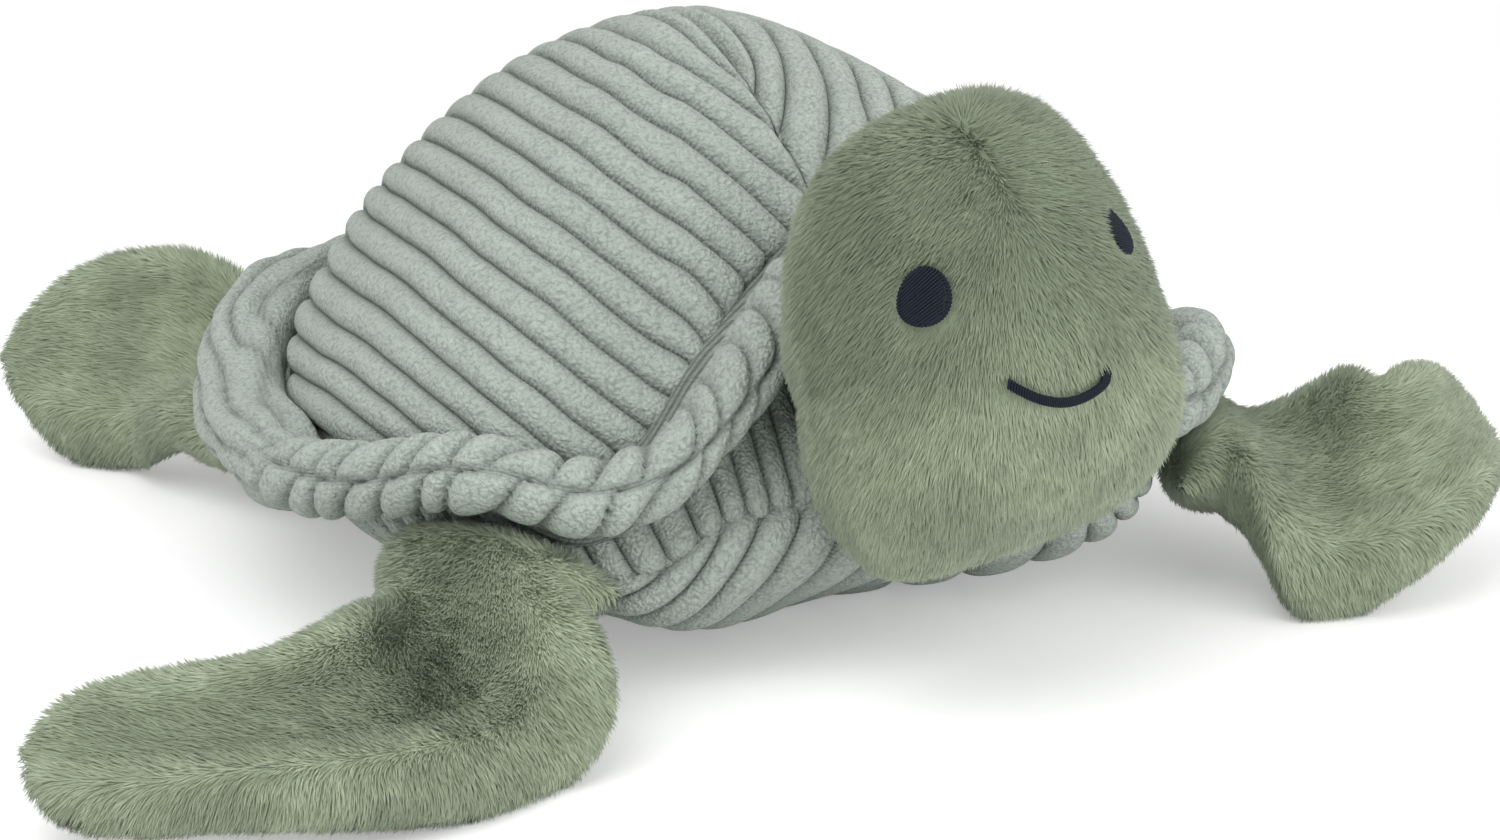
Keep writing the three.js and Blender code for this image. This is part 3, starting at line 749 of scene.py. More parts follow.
class TURTLE_OT_belly(bpy.types.Operator):
    """Sews the belly, one piece whose ribs run from front to back"""

    bl_idname = "turtle.belly"
    bl_label = "Belly"

    def execute(self, context):
        body = Body(context.scene.turtle_body)
        cloth = context.scene.turtle_cloth
        pitch = cloth.wale_pitch / MM
        reach = BELLY_REACH

        def room(across, ahead):
            turn = np.arctan2(-across, -ahead)
            return (1 - table(BELLY_SEAM, from_nose(turn)) - 0.004) * reach - np.hypot(across, ahead)

        levels = wale_levels(-reach / pitch, reach / pitch)
        places = np.linspace(-reach, reach, 981)
        phases, ahead = sheet_rows(levels, lambda p: p * pitch, room, places, 110)
        across = phases[:, None] * pitch + 0 * ahead
        share = 1 - np.hypot(across, ahead) / reach
        turn = np.arctan2(-across, -ahead)
        points = body.bowl(turn, share)
        normals = outward(points, grid_normals(points), np.array([0, 30, 70.0]))
        rib = wale(phases)[:, None] + 0 * ahead
        edge = room(across, ahead)
        rest = smooth((share - 0.8) / 0.15)
        hem = BAND_HEM * (1 - smooth(edge / BAND_HEM_WIDTH))
        lift = cloth.wale_depth / MM * (rib - 1) + BAND_PROUD * (1 - rest) - hem
        lift += 0.7 * soft_noise(points, 26.0, 4) * (1 - rest) * smooth(edge / 8)
        piece = sew("belly_cloth", (points, normals, lift, rib, ahead), cloth.thickness / MM, "belly")
        finish_piece(piece, "body", ["belly_cover"])
        return {"FINISHED"}


# Knobs of the gathered roll, and the lengthwise folds that take their place on the brim behind
KNOB_PITCH, KNOB_DEPTH, KNOB_STEPS, ROLL_SIDES = 11.2, 4.6, 12, 64
BRIM_FOLDS, BRIM_DEPTH = 7.0, 2.2
BRIM_FROM, BRIM_BLEND = 82, 16


class TURTLE_OT_roll(bpy.types.Operator):
    """Gathers the roll round the shell, whose ribs bulge between the stitches"""

    bl_idname = "turtle.roll"
    bl_label = "Gathered roll"

    def execute(self, context):
        body = Body(context.scene.turtle_body)
        fine = np.linspace(0, 2 * np.pi, 4001)
        line, _ = body.roll_line(fine)
        run = np.concatenate([[0], np.cumsum(np.linalg.norm(np.diff(line, axis=0), axis=1))])
        knobs = round(run[-1] / KNOB_PITCH)
        columns, around = knobs * KNOB_STEPS, ROLL_SIDES
        turn = np.interp(np.arange(columns) / columns * run[-1], run, fine)
        place = (np.arange(columns) / columns * knobs)[:, None]
        angle = np.linspace(0, 2 * np.pi, around + 1)[None, :]
        middle, radial = body.roll_line(turn)
        degrees = from_nose(turn)[:, None]

        def waves(times, shift=0.0):
            return np.sin(place * (2 * np.pi / knobs) * times + shift)

        pinch = np.radians(24) + 0.22 * waves(9)
        off = (angle - pinch + np.pi) % (2 * np.pi) - np.pi
        row = smooth((off + 0.12) / 0.24)
        cross = place + 0.5 * row + 0.34 * off + (0.13 * waves(23) + 0.1 * waves(41, 2 * row))
        f = 2 * (cross - np.floor(cross)) - 1
        lobe = np.sqrt(np.maximum(0, 1 - np.abs(f) ** 2.3))
        swell = np.sqrt(np.clip(1 - ((np.abs(off) - 1.0) / 1.2) ** 2, 0, 1))
        fold = wale(BRIM_FOLDS * angle / (2 * np.pi) + 0.45 * waves(6) + 0.2 * waves(15))
        seam = np.exp(-((off / 0.13) ** 2))
        knobbed = 1 - smooth((degrees - BRIM_FROM) / BRIM_BLEND)
        plain = 1 - knobbed
        inner = smooth((np.abs(off) - 1.9 + 0.5 * plain) / 0.7)
        knob = KNOB_DEPTH * (lobe * swell - 0.66) - 1.0 * seam
        relief = knobbed * knob + plain * (BRIM_DEPTH * (fold - 1) + 0.9)
        hidden = 0.9 + 5.0 * plain + 4.6 * smooth((72 - degrees) / 25)
        relief = relief * (1 - inner) + hidden * inner
        x, y = middle[:, 0:1] + 0 * angle, middle[:, 1:2] + 0 * angle
        flat = np.stack([x, y, 9 * np.sin(angle) + 0 * place], -1)
        radius = body.roll + relief + (0.9 + 0.6 * plain) * soft_noise(flat, 12.0, 8) * (1 - inner)
        section = np.cos(angle)[..., None] * radial[:, None, :] + np.sin(angle)[..., None] * UP
        points = body.dished(middle[:, None, :] + radius[..., None] * section)[:, :-1]
        # Painted shade: the groove measure darkens the pinched folds between the knobs, the stitched seam and
        # the brim's folds
        pleat = np.maximum((1 - lobe * swell**0.3) ** 1.6, 0.7 * seam)
        groove = (knobbed * pleat + plain * (1 - fold) ** GROOVE_POWER)[:, :-1]
        values = {"groove": groove, "along": (angle * 10 + 0 * place)[:, :-1]}
        faces = ring_faces(columns, around)
        piece = make_piece("rolled_edge", points.reshape(-1, 3), [faces], finish("shell"), values)
        finish_piece(piece, "body", ["shell_roll"])
        return {"FINISHED"}


# ---------------------------------------------------------------- pile


# The pile's locks, waves and streaks in millimetres, and how far single tufts differ
LOCK_SIZE, WAVE_SIZE, STREAK_SIZE = 4.5, 19.0, 2.4
CURL = 0.14
LEAN_SPREAD, WAY_SPREAD = 0.1, 0.07
LENGTH_SPREAD, WIDTH_SPREAD = (0.74, 1.06), (0.8, 1.25)
LEAST_RISE = 0.25
ROOT_DEPTH = 0.4
# Plush cloth: its back and its nap from the skin, and how far skin and back stay above the floor
PLUSH_BACK, PLUSH_NAP = 2.0, 0.3
SKIN_GAP, BACK_GAP = 0.3, 0.1


def skin_depth(cloth, proud):
    """How deep the skin lies in the solid, so that the combed pile ends that far above its face."""
    return cloth.pile_length / MM * math.cos(cloth.pile_lean) - proud


def grow_pile(points, normals, combed, painted_shade, cloth, seed, keep=None):
    """Tufts of pile over a grid of skin points. Each tuft is a slim three-sided spike."""
    rng = np.random.default_rng(seed)
    a, b = points[:-1, :-1], points[1:, :-1]
    c, d = points[1:, 1:], points[:-1, 1:]
    halves = np.cross(b - a, c - a), np.cross(c - a, d - a)
    area = 0.5 * (np.linalg.norm(halves[0], axis=-1) + np.linalg.norm(halves[1], axis=-1))
    wanted = area * cloth.pile_density
    count = np.floor(wanted + rng.random(area.shape)).astype(int)
    rows, columns = np.nonzero(count)
    i = np.repeat(rows, count[rows, columns])
    j = np.repeat(columns, count[rows, columns])
    u, v = rng.random((2, len(i), 1))

    def between(grid):
        first = grid[i, j] * (1 - u) + grid[i + 1, j] * u
        second = grid[i, j + 1] * (1 - u) + grid[i + 1, j + 1] * u
        return first * (1 - v) + second * v

    root, normal, comb = between(points), unit(between(normals)), between(combed)
    # The painted shade, carried over to each tuft
    dark = between(painted_shade[..., None])[:, 0]
    share = np.ones(len(root))
    if keep is not None:
        share = keep(root)
        held = share > 0.05
        root, normal, comb, share, dark = (a[held] for a in (root, normal, comb, share, dark))
    comb = comb - normal * (comb * normal).sum(-1, keepdims=True)
    laid = 0.6 + 0.4 * smooth(np.linalg.norm(comb, axis=-1, keepdims=True) / 0.6)
    comb = unit(comb)
    wisp = np.stack([soft_noise(root, LOCK_SIZE, seed % 7 + k) for k in (1, 2, 3)], -1)
    wave = np.stack([soft_noise(root, WAVE_SIZE, seed % 5 + k) for k in (4, 5, 6)], -1)
    lean = cloth.pile_lean * laid + rng.normal(0, LEAN_SPREAD, (len(root), 1))
    way = normal * np.cos(lean) + comb * np.sin(lean) + CURL * wisp + CURL * wave
    way = unit(way + rng.normal(0, WAY_SPREAD, root.shape))
    rise = (way * normal).sum(-1, keepdims=True)
    way = unit(way + normal * np.maximum(0, LEAST_RISE - rise))
    length = cloth.pile_length / MM * share * rng.uniform(*LENGTH_SPREAD, len(root))
    side = unit(np.cross(way, normal + 0.3 * comb))
    lift = unit(np.cross(side, way))
    spin = rng.random(len(root)) * 2 * np.pi
    width = cloth.pile_width / MM / 2 * rng.uniform(*WIDTH_SPREAD, len(root))
    corners, facing = [], []
    for k in range(3):
        around = spin + k * 2 * np.pi / 3
        out = np.cos(around)[:, None] * side + np.sin(around)[:, None] * lift
        corners.append(root - normal * ROOT_DEPTH + out * width[:, None])
        facing.append(unit(normal + 0.55 * out))
    corners.append(root + way * length[:, None])
    facing.append(unit(normal + 0.25 * way))
    tufts = np.stack(corners, 1).reshape(-1, 3)
    tufts[:, 2] = np.maximum(tufts[:, 2], FLOOR_GAP)
    start = 4 * np.arange(len(root))[:, None]
    faces = np.concatenate([start + np.array([(k + 1) % 3, k, 3]) for k in range(3)])
    streak = 0.5 + 0.5 * soft_noise(root, STREAK_SIZE, seed % 3 + 9)
    tint = np.clip(0.5 * rng.random(len(root)) + 0.5 * streak, 0, 1)
    # The pile measure: painted shade deep in the pile, low at the roots and full at the tips
    pile = np.tile([0.35, 0.35, 0.35, 1.0], len(root))
    values = {"pile": pile, "tint": np.repeat(tint, 4), "painted_shade": np.repeat(dark, 4)}
    return tufts, faces, values, np.stack(facing, 1).reshape(-1, 3)


def furry_piece(name, points, normals, combed, painted_shade, turned, ring, cloth, seed, keep=None):
    """Plush cloth: its backing and the pile that grows on it."""
    points[..., 2] = np.maximum(points[..., 2], SKIN_GAP)
    extra = grow_pile(points, normals, combed, painted_shade, cloth, seed, keep)
    inner = points - normals * PLUSH_BACK
    inner[..., 2] = np.maximum(inner[..., 2], BACK_GAP)
    size = points.shape[:2]
    # The backing sits halfway in the painted shade of the pile measure
    values = {"pile": np.full(size, 0.5), "tint": np.full(size, 0.3), "painted_shade": painted_shade}
    nap = points + normals * PLUSH_NAP
    return cloth_piece(name, nap, inner, turned, values, finish("pile"), ring, normals, extra)


# The head's outline and the squareness of its section, in degrees over the head from its back
HEAD_PROFILE = [
    [0, 44], [50, 44], [90, 60], [130, 50.3], [170, 45.5], [210, 46.1], [242, 50.3], [263, 54.4],
    [292, 47], [315, 44], [360, 44],
]
HEAD_SQUARE = [
    [0, 2], [40, 2.1], [75, 2.6], [110, 2.11], [180, 2.48], [245, 4.6], [285, 5.0], [305, 3],
    [325, 2], [360, 2],
]
HEAD_WIDTH = 90.5
HEAD_LEAN = math.radians(10)
EYE_OVER, EYE_ACROSS, EYE_RADIUS = 139.0, 0.614, 6.5
EYE_BARE = {"right": 6.5, "left": 5.2}
EYE_SUNK = {"right": 0.0, "left": 2.3}
SMILE_OVER, SMILE_WIDTH, SMILE_DROP = 185.2, 34.0, 9.0
SMILE_STITCHES = 64
EYE_ROWS, EYE_RIM = 20, 48
# Width and height of a stitch on the smile, over an eye and round its rim
SMILE_THREAD, EYE_THREAD, RIM_THREAD = (0.72, 1.3), (0.7, 0.9), (0.85, 0.9)
DART_FROM, DART_TO = 101.0, 126.5


def head_local(over, across, inset):
    power = table(HEAD_SQUARE, over % 360)
    round_share = np.maximum(0, 1 - np.abs(across) ** power) ** (1 / power)
    length = (table(HEAD_PROFILE, over % 360) - inset) * round_share
    x = across * (HEAD_WIDTH / 2 - inset)
    angle = np.radians(over)
    return np.stack([x + 0 * angle, length * np.cos(angle), length * np.sin(angle)], -1)


def head_place(body, local):
    c, s = math.cos(HEAD_LEAN), math.sin(HEAD_LEAN)
    return local @ np.array([[c, 0, s], [0, 1, 0], [-s, 0, c]]) + body.head_centre


def on_face(over, across, sideways, down, height):
    """A place on the face, some millimetres sideways, down and out from one on the head's skin."""
    over, across = np.float64(over), np.float64(across)
    here = head_local(over, across, 0)
    per_degree = np.linalg.norm(head_local(over + 1, across, 0) - here)
    per_share = np.linalg.norm(head_local(over, across + 0.01, 0) - here) / 0.01
    return head_local(over + down / per_degree, across + sideways / per_share, -height)


class TURTLE_OT_head(bpy.types.Operator):
    """Sews the two halves of the head and combs their pile"""

    bl_idname = "turtle.head"
    bl_label = "Head"

    def execute(self, context):
        body = Body(context.scene.turtle_body)
        cloth = context.scene.turtle_cloth
        skin = skin_depth(cloth, 0.2)
        dart = [head_place(body, on_face(over, 0, 0, 0, 0)) for over in (DART_FROM, DART_TO)]
        middles = ((name, on_face(EYE_OVER, side * EYE_ACROSS, 0, 0, 0)) for name, side in SIDES.items())
        eyes = {name: head_place(body, middle) for name, middle in middles}
        smile = np.array([head_place(body, smile_place(t)) for t in np.linspace(-1, 0.42, 60)])

        def keep(root):
            """Share of its length that the pile has: short at the eyes, the smile and against the body."""
            share = np.ones(len(root))
            for name, bare in EYE_BARE.items():
                far = np.linalg.norm(root - eyes[name], axis=1)
                share *= np.clip(0.35 + (far - bare - 0.8) / 5.0, 0.0, 1.0) * (far > bare - 0.4)
            near = np.min([np.linalg.norm(root - p, axis=1) for p in smile], axis=0)
            pressed = 1 - 0.6 * smooth((root[:, 1] - body.head_centre[1] - 16) / 14)
            return share * pressed * np.clip(0.3 + (near - 1.6) / 6.0, 0.0, 1.0) * (near > 1.2)

        i, j = even_grid(44, 161)
        over = j * 360
        for side_name, side in SIDES.items():
            local = head_local(over, np.cos(i * np.pi / 2) * side, skin)
            local[..., 0] += side * 0.15
            points = head_place(body, local)
            normals = outward(points, grid_normals(points, True), body.head_centre)
            normals[0] = (side * math.cos(HEAD_LEAN), 0, side * math.sin(HEAD_LEAN))
            dent = 0.5 * np.exp(-((local[..., 0] / 2.2) ** 2)) * smooth((over - 70) / 30)
            points = points - normals * (dent * smooth((190 - over) / 40))[..., None]
            length = dart[1] - dart[0]
            share = np.clip((points - dart[0]) @ length / np.sum(length**2), 0, 1)
            away = points - dart[0] - share[..., None] * length
            far = np.linalg.norm(away, axis=-1, keepdims=True)
            combed = away / (far + 7) + np.array([0, 0.1, -0.85]) * smooth((far + 8) / 26)
            # Painted shade over the top of the head and down the brow, fading out by the smile
            painted_shade = 0.6 * smooth((205 - over) / 70) * smooth((over - 60) / 40)
            name = f"head_fur_{side_name}"
            piece = furry_piece(name, points, normals, combed, painted_shade, side < 0, True, cloth, 11 + side, keep)
            finish_piece(piece, "head", [f"head_cover_{side_name}"])
        return {"FINISHED"}


def smile_place(share, height=1.0):
    return on_face(SMILE_OVER, 0.0, share * SMILE_WIDTH / 2, -SMILE_DROP * share * share, height)


def model_stitch():
    """One stitch of thread, a bolster one unit long and thick with rounded ends."""
    bpy.ops.object.select_all(action="DESELECT")
    bpy.ops.mesh.primitive_cylinder_add(vertices=8, radius=0.5, depth=1.0, location=(0, 0, 0))
    stitch = bpy.context.active_object
    bpy.ops.object.mode_set(mode="EDIT")
    bpy.ops.mesh.select_mode(type="FACE")
    bpy.ops.mesh.select_all(action="DESELECT")
    bpy.ops.object.mode_set(mode="OBJECT")
    for face in stitch.data.polygons:
        face.select = abs(face.normal.z) > 0.5
    bpy.ops.object.mode_set(mode="EDIT")
    bpy.ops.mesh.bevel(offset=0.2, segments=2)
    bpy.ops.object.mode_set(mode="OBJECT")
    bpy.ops.object.shade_smooth()
    return stitch


def stitched_piece(name, stitches):
    """Copies the stitch along the embroidery, each copy with its own mesh, and joins the copies."""
    stitch = model_stitch()
    copies = []
    for start, end, normal, width, height in stitches:
        side = unit(np.cross(normal, end - start))
        place = np.eye(4)
        place[:3, 0] = side * width
        place[:3, 1] = np.cross(unit(end - start), side) * height
        place[:3, 2] = end - start
        place[:3, 3] = (start + end) / 2
        place[:3] *= MM
        copy = bpy.data.objects.new(name, stitch.data.copy())
        copy.data.transform(Matrix(place.tolist()))
        bpy.context.scene.collection.objects.link(copy)
        copies.append(copy)
    bpy.data.objects.remove(stitch)
    choose(copies)
    bpy.ops.object.join()
    copies[0].data.materials.append(finish("thread"))
    return copies[0]


class TURTLE_OT_face(bpy.types.Operator):
    """Embroiders the eyes and the smile"""

    bl_idname = "turtle.face"
    bl_label = "Face"

    def execute(self, context):
        body = Body(context.scene.turtle_body)
        for side_name, side in SIDES.items():
            piece = stitched_piece(f"eye_stitching_{side_name}", self.eye(body, side_name, side))
            finish_piece(piece, "head", [f"eye_{side_name}"])
        stitches = []
        for a in np.linspace(-1, 1, SMILE_STITCHES):
            sunk = 1.1 - 3.4 * smooth((a - 0.35) / 0.4)
            p, ahead = smile_place(a, sunk), smile_place(a + 0.02, sunk)
            out = unit(p)
            along = unit(ahead - p)
            half = 1.15 * np.cross(along, out) + 0.55 * along
            ends = head_place(body, p - half), head_place(body, p + half)
            stitches.append((*ends, unit(head_place(body, out) - body.head_centre), *SMILE_THREAD))
        piece = stitched_piece("smile_stitching", stitches)
        finish_piece(piece, "head", ["smile_stitch"])
        return {"FINISHED"}

    def eye(self, body, side_name, side):
        """Rows of satin stitches over the disc, each parted in two, and short stitches round its rim."""

        def spot(sideways, down, height):
            place = on_face(EYE_OVER, side * EYE_ACROSS, sideways, down, height - EYE_SUNK[side_name])
            return head_place(body, place)

        def rim(turn, share, height):
            return spot(EYE_RADIUS * share * math.cos(turn), EYE_RADIUS * share * math.sin(turn), height)

        normal = unit(spot(0, 0, 5) - spot(0, 0, 0))
        stitches = []
        tilt = 0.16 * side
        for k, row in enumerate(np.linspace(-1, 1, EYE_ROWS)[1:-1]):
            half = EYE_RADIUS * math.sqrt(1 - row * row) - 0.5
            bow = 0.6 + 0.6 * (1 - row * row)
            cut = half * (0.5 * math.sin(k * 2.4))
            for x0, x1 in ((-half, cut + 0.3), (cut - 0.3, half)):
                ends = (spot(x, row * EYE_RADIUS + tilt * x, bow) for x in (x0, x1))
                stitches.append((*ends, normal, *EYE_THREAD))
        for k in range(EYE_RIM):
            turn = 2 * math.pi * k / EYE_RIM
            stitches.append((rim(turn, 0.86, 0.8), rim(turn + 0.12, 1.02, 0.1), normal, *RIM_THREAD))
        return stitches


# ---------------------------------------------------------------- flippers


def flipper_hinge(body, spec):
    turn = math.radians(spec["at"])
    level = (spec["root_height"] / body.seam_height(turn)) ** (1 / BOWL_POWER)
    share = (2 / math.pi) * math.asin(1 - level)
    step = 1 / 14
    down = unit(body.bowl(turn, np.float64(share + step)) - body.bowl(turn, np.float64(share - step)))
    along = np.array([-math.cos(turn), math.sin(turn), 0])
    normal = unit(np.cross(along, down))
    return body.bowl(turn, np.float64(share)) + normal * (spec["half_thickness"] - spec["root_seat"])


def flipper_points(body, spec, side_name, along, angle, inset, hollow):
    """The flipper's surface, as for a right flipper: along runs from root to tip, angle round the section."""
    pose = spec["poses"][side_name]
    reach, sweep = spec["reach"], spec["sweep"]
    start, end = inset - spec["half_thickness"], reach - inset
    place = start + (end - start) * (0.5 - 0.5 * np.cos(along * np.pi))
    held = np.maximum(0, place)
    share = held / reach
    close = np.sqrt(np.maximum(0, 1 - (held / end) ** 4))
    half = (spec["half_width"] * table(spec["widths"], share) - inset) * close
    aim, hinge = math.radians(pose["aim"]), math.radians(spec["at"])
    bow = np.arctan((sweep * np.pi / reach) * np.cos(share * np.pi))
    turn = hinge + (aim - bow - hinge) * smooth(share / spec["settle"])
    twist = math.radians(pose["roll"]) * smooth((share - spec["twist_from"]) / spec["twist_share"])
    out = way_out(aim)
    front = np.array([math.cos(aim), -math.sin(aim), 0])
    edge = np.stack([np.cos(turn), -np.sin(turn), 0 * turn], -1)
    edges = (table(spec[name][side_name], share) for name in ("lead", "trail"))
    across = half * np.cos(angle) * np.where(np.cos(angle) > 0, *edges)
    crown = np.sin(angle)
    trough = 1 - smooth((np.abs(np.cos(angle) + 0.14) - 0.25) / 0.5)
    dent = hollow / spec["half_thickness"] * trough * (crown > 0)
    fullness = crown - dent * smooth(share / 0.3) * smooth((1 - share) / 0.22)
    radius = spec["half_thickness"] - inset
    behind = np.sqrt(np.maximum(0, radius * radius - place * place))
    ahead = radius * np.maximum(0, 1 - (held / end) ** 3) ** 0.6
    up = np.where(place < 0, behind, ahead) * fullness
    fall = pose["droop"] * np.sin(share * np.pi / 2)
    rise = pose["lift"] * smooth((share - spec["lift_from"]) / spec["lift_share"]) - fall
    moved = np.minimum(place, place * pose["reach_share"])
    points = flipper_hinge(body, spec) + out * moved[..., None]
    points = points + front * (sweep * np.sin(share * np.pi))[..., None]
    points = points + edge * (across * np.cos(twist) + up * np.sin(twist))[..., None]
    points[..., 2] += rise + up * np.cos(twist) - across * np.sin(twist)
    return points


HOLLOW = 10.0
FLIPPER_SEED = 30


class TURTLE_OT_flippers(bpy.types.Operator):
    """Sews the four flippers, upper and lower cloth, and combs their pile"""

    bl_idname = "turtle.flippers"
    bl_label = "Flippers"

    def execute(self, context):
        body = Body(context.scene.turtle_body)
        cloth = context.scene.turtle_cloth
        skin = skin_depth(cloth, 0.4)
        seed = FLIPPER_SEED
        for spec in (FRONT_FLIPPER, REAR_FLIPPER):
            for side_name in SIDES:
                for upper in (True, False):
                    seed += 1
                    self.cover(body, cloth, skin, spec, side_name, upper, seed)
        return {"FINISHED"}

    def cover(self, body, cloth, skin, spec, side_name, upper, seed):
        """The upper or the lower cloth of one flipper."""
        side = SIDES[side_name]
        i, j = even_grid(76, 34)
        angle = j * np.pi * (1 if upper else -1)
        hollow = HOLLOW if upper else 0.0

        def at(along, angle, hollow):
            return flipper_points(body, spec, side_name, along, angle, skin, hollow)

        points = at(i, angle, hollow)
        held = np.clip(i, 0.02, 0.98)
        along = unit(at(held + 0.01, angle, hollow) - at(held - 0.01, angle, hollow))
        core = (at(i, 0 * i + np.pi / 2, 0) + at(i, 0 * i - np.pi / 2, 0)) / 2
        normals = grid_normals(points)
        facing = ((points - core) * normals).sum(-1, keepdims=True).mean(0).mean(0)
        normals = normals * np.sign(facing)
        outside = smooth((np.abs(np.cos(j * np.pi) + 0.1) - 0.55) / 0.3)[..., None]
        combed = (1.2 - 0.7 * outside) * along + (0.1 + 0.65 * outside) * unit(points - core)
        combed = combed - np.array([0, 0, 0.8]) * outside
        if side > 0:
            points, normals, combed = (a * (-1, 1, 1) for a in (points, normals, combed))
        layer = "top" if upper else "base"
        name = f"{spec['name']}_flipper_fur_{layer}_{side_name}"
        # Painted shade in the hollow of the upper cloth, fading out near the root and the tip
        dip = 1 - smooth((np.abs(np.cos(j * np.pi) + 0.14) - 0.2) / 0.5)
        dip = dip * smooth(i / 0.3) * smooth((1 - i) / 0.25)
        painted_shade = spec["poses"][side_name]["painted_shade"] * dip * upper
        turned = (side < 0) == upper
        piece = furry_piece(name, points, normals, combed, painted_shade, turned, False, cloth, seed)
        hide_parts(f"{spec['name']}_flipper_{layer}_{side_name}")
        place_on_hinge(piece, flipper_hinge(body, spec))


def place_on_hinge(piece, hinge):
    """Bakes the piece's placement into its mesh."""
    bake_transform(piece)


# ---------------------------------------------------------------- filling


# Depth of the filling under the skin and of its hollow in a flipper, and the radius of the roll's
FILLING_DEPTH, FILLING_HOLLOW, ROLL_FILLING = 6.5, 14.0, 4.2


def lumpy(name, grids, body_name, node_name, seed):
    """A closed lump of fibre from rows of points."""
    points = np.concatenate([g.reshape(-1, 3) for g in grids])
    centre = points.mean(0)
    away = unit(points - centre)
    points = points - away * (0.8 + 0.8 * soft_noise(points, 9.0, seed))[:, None]
    faces, start = [], 0
    for g in grids:
        faces.append(grid_faces(g.shape[0], g.shape[1], start))
        start += g.shape[0] * g.shape[1]
    piece = make_piece(name, points, [np.concatenate(faces)], finish("fibre"))
    choose([piece])
    bpy.ops.object.mode_set(mode="EDIT")
    bpy.ops.mesh.select_all(action="SELECT")
    bpy.ops.mesh.remove_doubles(threshold=0.0004)
    bpy.ops.mesh.normals_make_consistent(inside=False)
    bpy.ops.object.mode_set(mode="OBJECT")
    finish_piece(piece, body_name, [node_name])


class TURTLE_OT_filling(bpy.types.Operator):
    """Stuffs the covers with fibre"""

    bl_idname = "turtle.filling"
    bl_label = "Filling"

    def execute(self, context):
        body = Body(context.scene.turtle_body)
        share, turn = even_grid(26, 73, 1, 2 * np.pi)
        core = np.array([0, 30.0, 50.0])

        def shrunk(points):
            away = points - core
            far = np.linalg.norm(away, axis=-1, keepdims=True)
            return core + away * (far - 5.5) / far

        under = shrunk(body.bowl(turn, share))
        under[-1] = under[-1].mean(0)
        lumpy("body_filling", [shrunk(body.dome(turn, share)), under], "body", "body_stuffing", 21)
        columns, sides = 240, 12
        middle, radial = body.roll_line(np.linspace(0, 2 * np.pi, columns + 1))
        angle = np.linspace(0, 2 * np.pi, sides + 1)
        section = np.cos(angle)[None, :, None] * radial[:, None] + np.sin(angle)[None, :, None] * UP
        ring = middle[:, None] + ROLL_FILLING * section
        ring = body.dished(ring, 3.5)[:-1, :-1].reshape(-1, 3)
        piece = make_piece("roll_filling", ring, [ring_faces(columns, sides)], finish("fibre"))
        finish_piece(piece, "body", ["shell_roll_stuffing"])
        i, over = even_grid(33, 61, 1, 360)
        local = head_local(over, np.cos(i * np.pi), FILLING_DEPTH)
        lumpy("head_filling", [head_place(body, local)], "head", "head_stuffing", 22)
        i, j = even_grid(40, 33, 1, 2 * np.pi)
        for spec in (FRONT_FLIPPER, REAR_FLIPPER):
            name = f"{spec['name']}_flipper"
            for side_name, side in SIDES.items():
                points = flipper_points(body, spec, side_name, i, j, FILLING_DEPTH, FILLING_HOLLOW)
                points = points * (-side, 1, 1)
                node_name = f"{name}_stuffing_{side_name}"
                lumpy(f"{name}_filling_{side_name}", [points], f"{name}_{side_name}", node_name, 23)
        return {"FINISHED"}


# ---------------------------------------------------------------- stage

FLOOR_GLOW = 0.3
FLOOR_FADE = (0.24, 0.5)


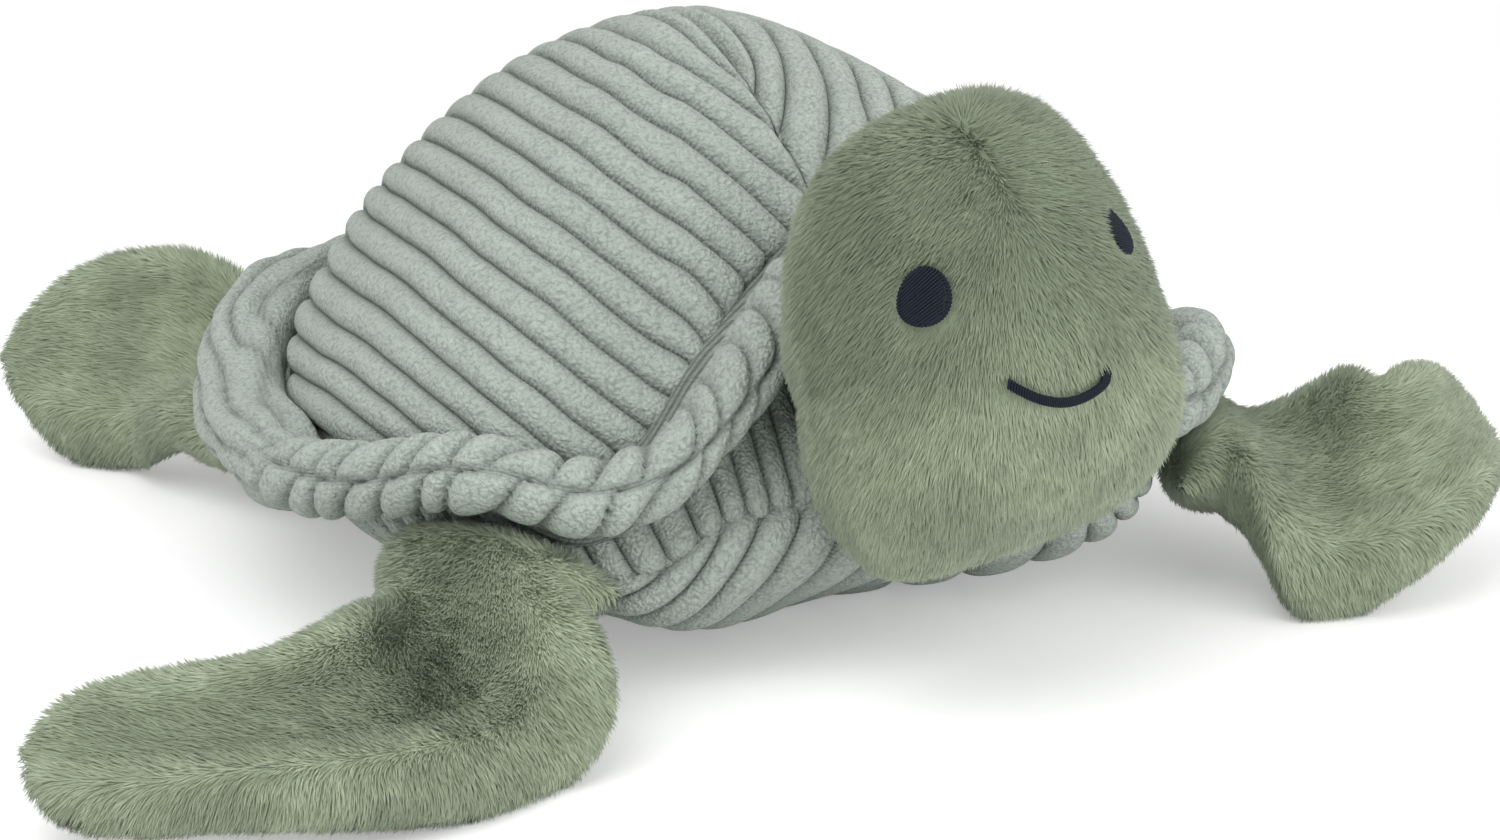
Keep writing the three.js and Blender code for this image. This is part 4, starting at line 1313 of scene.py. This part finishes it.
class TURTLE_OT_stage(bpy.types.Operator):
    """Sets the floor, the room light, the lamps and the camera"""

    bl_idname = "turtle.stage"
    bl_label = "Stage"

    def execute(self, context):
        sizes = context.scene.turtle_stage
        bpy.ops.object.select_all(action="DESELECT")
        bpy.ops.mesh.primitive_plane_add(size=8, location=(0, 0, 0))
        floor = context.active_object
        floor.name = "studio_floor"
        material, tree, inputs = new_finish("Pale floor", 0.9)
        inputs["Base Color"].default_value = rgba((0.9, 0.9, 0.9))
        seen = self.seen(tree)
        glow = node(tree, "ShaderNodeEmission", {"Strength": maths(tree, "MULTIPLY", seen, FLOOR_GLOW)})[0]
        lit = node(tree, "ShaderNodeAddShader", {0: tree.nodes["Principled BSDF"].outputs[0], 1: glow})[0]
        white = node(tree, "ShaderNodeEmission", {"Strength": 1.0})[0]
        away = node(tree, "ShaderNodeVectorMath", {0: object_place(tree)}, operation="LENGTH")["Value"]
        far = ranged(tree, away, *FLOOR_FADE, 0.0, 1.0, interpolation_type="SMOOTHSTEP")
        shown = {0: maths(tree, "MULTIPLY", far, seen), 1: lit, 2: white}
        surface = tree.nodes["Material Output"].inputs["Surface"]
        tree.links.new(node(tree, "ShaderNodeMixShader", shown)[0], surface)
        floor.data.materials.append(material)
        world = bpy.data.worlds.new("Studio room")
        context.scene.world = world
        world.use_nodes = True
        tree = world.node_tree
        background = tree.nodes["Background"].inputs
        background["Color"].default_value = (1, 1, 1, 1)
        strength = ranged(tree, self.seen(tree), 0.0, 1.0, sizes.sky, 1.0)
        tree.links.new(strength, background["Strength"])
        aim = Vector(sizes.aim)
        self.lamp("Key lamp", aim, Vector((-0.75, -0.35, 1.15)), 1.1, sizes.key_power)
        self.lamp("Fill lamp", aim, Vector((0.35, -1.2, 0.55)), 1.2, sizes.key_power * 0.85)
        low = math.cos(sizes.elevation)
        way = (-math.sin(sizes.azimuth) * low, -math.cos(sizes.azimuth) * low, math.sin(sizes.elevation))
        away = Vector(way)
        turn = (-away).to_track_quat("-Z", "Y").to_euler()
        bpy.ops.object.camera_add(location=aim + away * sizes.distance, rotation=turn)
        camera = context.active_object
        camera.name = "Studio camera"
        camera.data.lens = sizes.lens
        camera.data.sensor_width = 36
        camera.data.clip_start = 0.05
        context.scene.camera = camera
        context.scene.view_settings.view_transform = "Standard"
        return {"FINISHED"}

    def seen(self, tree):
        """1 where the camera or a reflection looks, 0 where light falls."""
        path = node(tree, "ShaderNodeLightPath")
        return maths(tree, "MAXIMUM", path["Is Camera Ray"], path["Is Glossy Ray"])

    def lamp(self, name, aim, offset, size, power):
        turn = (-offset).to_track_quat("-Z", "Y").to_euler()
        bpy.ops.object.light_add(type="AREA", location=aim + offset, rotation=turn)
        lamp = bpy.context.active_object
        lamp.name = name
        lamp.data.size = size
        lamp.data.energy = power


class TURTLE_PT_panel(bpy.types.Panel):
    """Lists the pieces and their sizes"""

    bl_idname = "TURTLE_PT_panel"
    bl_label = "Plush sea turtle"
    bl_space_type = "VIEW_3D"
    bl_region_type = "UI"
    bl_category = "Turtle"

    def draw(self, context):
        for operator in OPERATORS:
            self.layout.operator(operator.bl_idname)
        for label in GROUPS:
            group = getattr(context.scene, label)
            box = self.layout.box()
            for name in group.__annotations__:
                box.prop(group, name)


OPERATORS = (
    TURTLE_OT_shell,
    TURTLE_OT_sides,
    TURTLE_OT_belly,
    TURTLE_OT_roll,
    TURTLE_OT_head,
    TURTLE_OT_face,
    TURTLE_OT_flippers,
    TURTLE_OT_filling,
    TURTLE_OT_stage,
)
GROUPS = {
    "turtle_body": TurtleBodySizes,
    "turtle_cloth": TurtleClothSizes,
    "turtle_colours": TurtleColours,
    "turtle_stage": TurtleStageSizes,
}


def register():
    for group in (*GROUPS.values(), *OPERATORS, TURTLE_PT_panel):
        bpy.utils.register_class(group)
    for name, group in GROUPS.items():
        setattr(bpy.types.Scene, name, bpy.props.PointerProperty(type=group))


def unregister():
    for name in GROUPS:
        delattr(bpy.types.Scene, name)
    for group in (TURTLE_PT_panel, *reversed(OPERATORS), *reversed(GROUPS.values())):
        bpy.utils.unregister_class(group)


def main():
    register()
    for operator in OPERATORS:
        group, name = operator.bl_idname.split(".")
        getattr(getattr(bpy.ops, group), name)()


if __name__ == "__main__":
    main()
